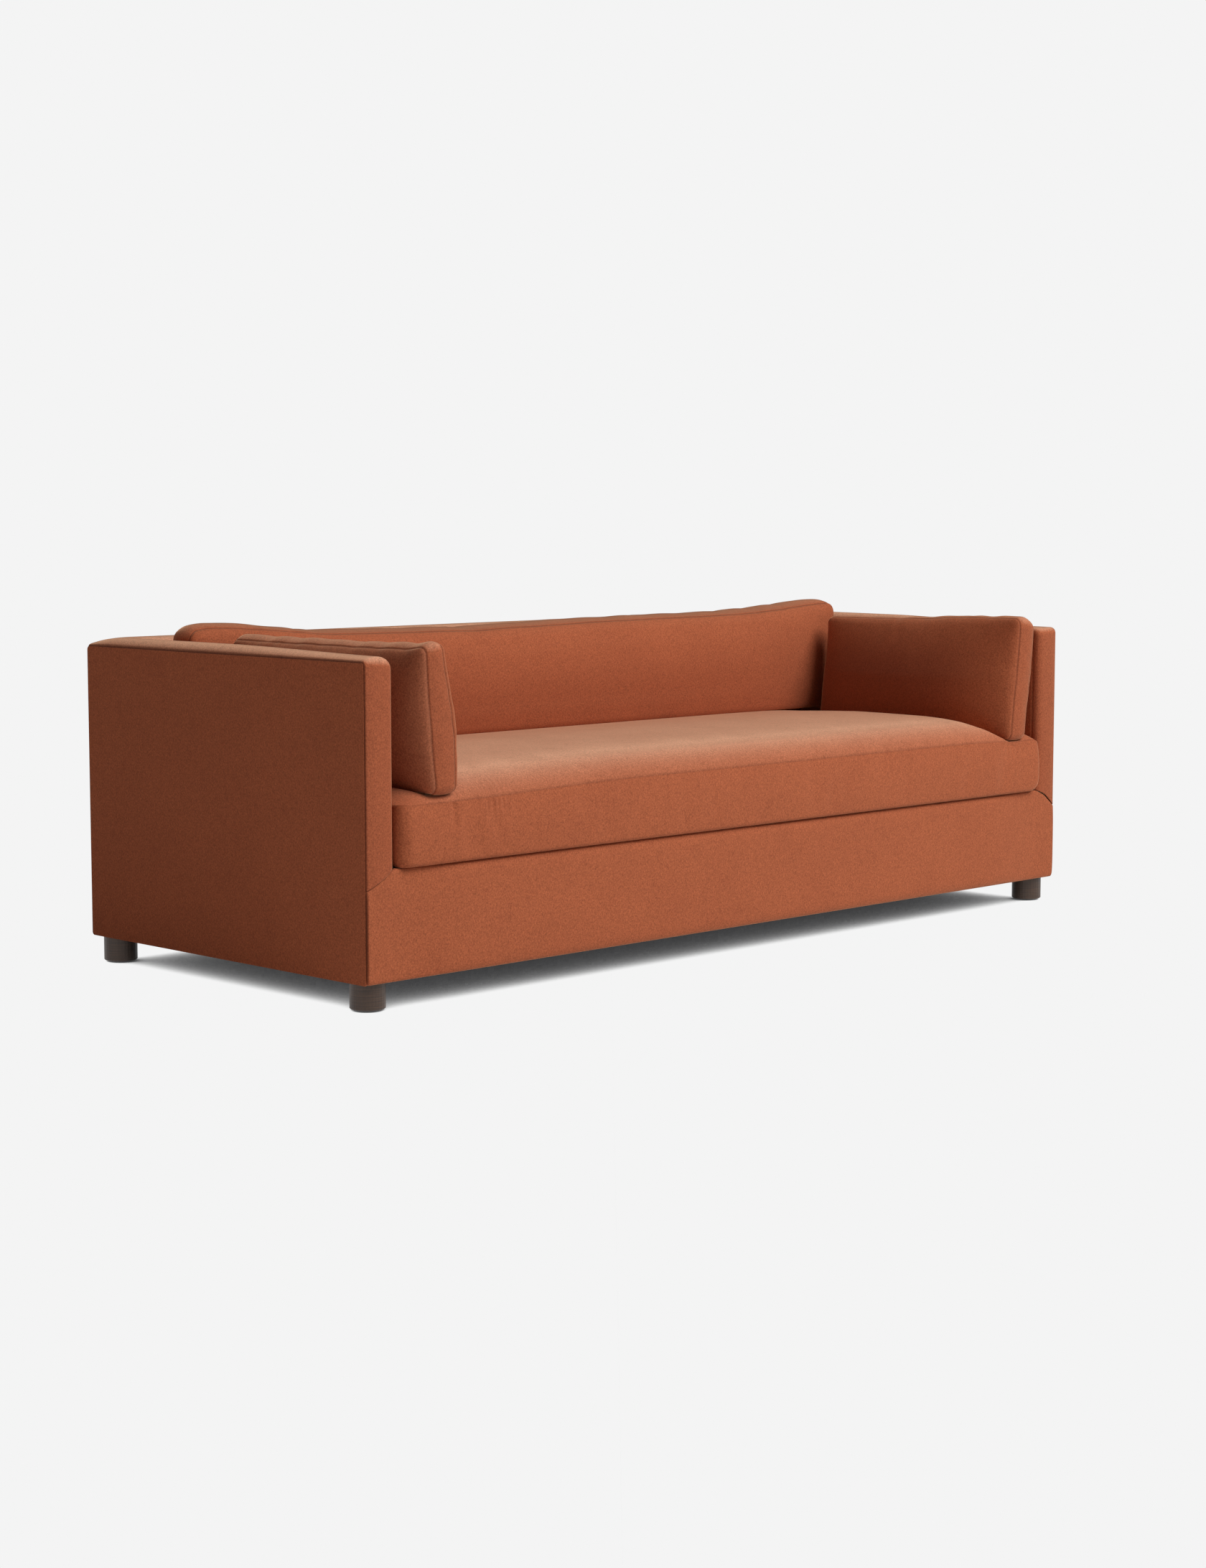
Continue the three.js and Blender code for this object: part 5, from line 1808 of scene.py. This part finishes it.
# A low weak warm one to the left, which opens up the shade on the outside of that arm
SIDE = SoftBox("side", "RECTANGLE", (-5.5, -0.5, 0.55), (-4.5, -0.5, 0.55), (2.0, 0.8), 12.0, "#ffdccf")


@dataclass
class Studio:
    """Pale floor, soft key light from the upper right and front, and the camera."""

    camera_place: tuple[float, float, float] = (-4.916, -4.887, 1.078)
    yaw: float = 45.01
    pitch: float = 5.84
    lens: float = 63.12
    fill: float = 0.085
    pale: str = "#f4f4f4"
    shade: str = "#303031"
    shade_reach: float = 0.7

    def build(self) -> None:
        """Makes the camera, lamps, world and floor."""
        self.camera()
        KEY.build()
        SIDE.build()
        self.world()
        self.floor()
        bpy.context.scene.view_settings.view_transform = "Standard"

    def camera(self) -> None:
        """Puts the camera where the photographer stood."""
        data = bpy.data.cameras.new("camera")
        data.lens, data.sensor_width = self.lens, 36
        camera = bpy.data.objects.new("camera", data)
        bpy.context.scene.collection.objects.link(camera)
        camera.location = self.camera_place
        camera.rotation_euler = Euler((math.radians(90 - self.pitch), 0, math.radians(-self.yaw)))
        bpy.context.scene.camera = camera

    def world(self) -> None:
        """Even fill light, and a pale background for the camera and for reflections."""
        world = bpy.data.worlds.new("studio")
        world.use_nodes = True
        bpy.context.scene.world = world
        tree = world.node_tree
        tree.nodes.clear()
        fill = add(tree, "Background", {"Color": (1, 1, 1, 1), "Strength": self.fill})
        pale = add(tree, "Background", {"Color": linear(self.pale), "Strength": 1.0})
        show(tree, fill, pale, "OutputWorld")

    def floor(self) -> None:
        """A wide plain floor: the camera sees it pale in the open, with a painted shadow from ambient
        occlusion under the sofa; other rays meet a plain diffuse floor.
        """
        deselect()
        bpy.ops.mesh.primitive_plane_add(size=60, location=(0, 0, 0))
        floor = bpy.context.active_object
        floor.name = "floor"
        made = bpy.data.materials.new("studio_floor")
        made.use_nodes = True
        tree = made.node_tree
        tree.nodes.clear()
        dull = add(tree, "BsdfDiffuse", {"Color": (0.85, 0.84, 0.83, 1)})
        # Painted shadow: ambient occlusion darkens what the camera sees of the floor under the sofa
        air = add(tree, "AmbientOcclusion", {"Distance": self.shade_reach}, samples=32).outputs["AO"]
        share = add(tree, "MapRange", {
            "Value": air, "From Min": 0.0, "From Max": 0.3, "To Min": 0.0, "To Max": 1.0,
        }, interpolation_type="SMOOTHSTEP").outputs["Result"]
        colour = add(tree, "Mix", {0: share, 6: linear(self.shade), 7: linear(self.pale)}, data_type="RGBA")
        pale = add(tree, "Emission", {"Color": colour.outputs[2], "Strength": 1.0})
        show(tree, dull, pale, "OutputMaterial")
        floor.data.materials.append(made)


def main() -> None:
    """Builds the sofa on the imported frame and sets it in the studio."""
    logging.basicConfig(level=logging.INFO, format="%(message)s")
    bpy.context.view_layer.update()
    velvet = Velvet().material()
    Studio().build()
    LooseCushions(velvet).build()
    FixedUpholstery(velvet).build()
    FrameParts().build()
    deselect()


if __name__ == "__main__":
    main()
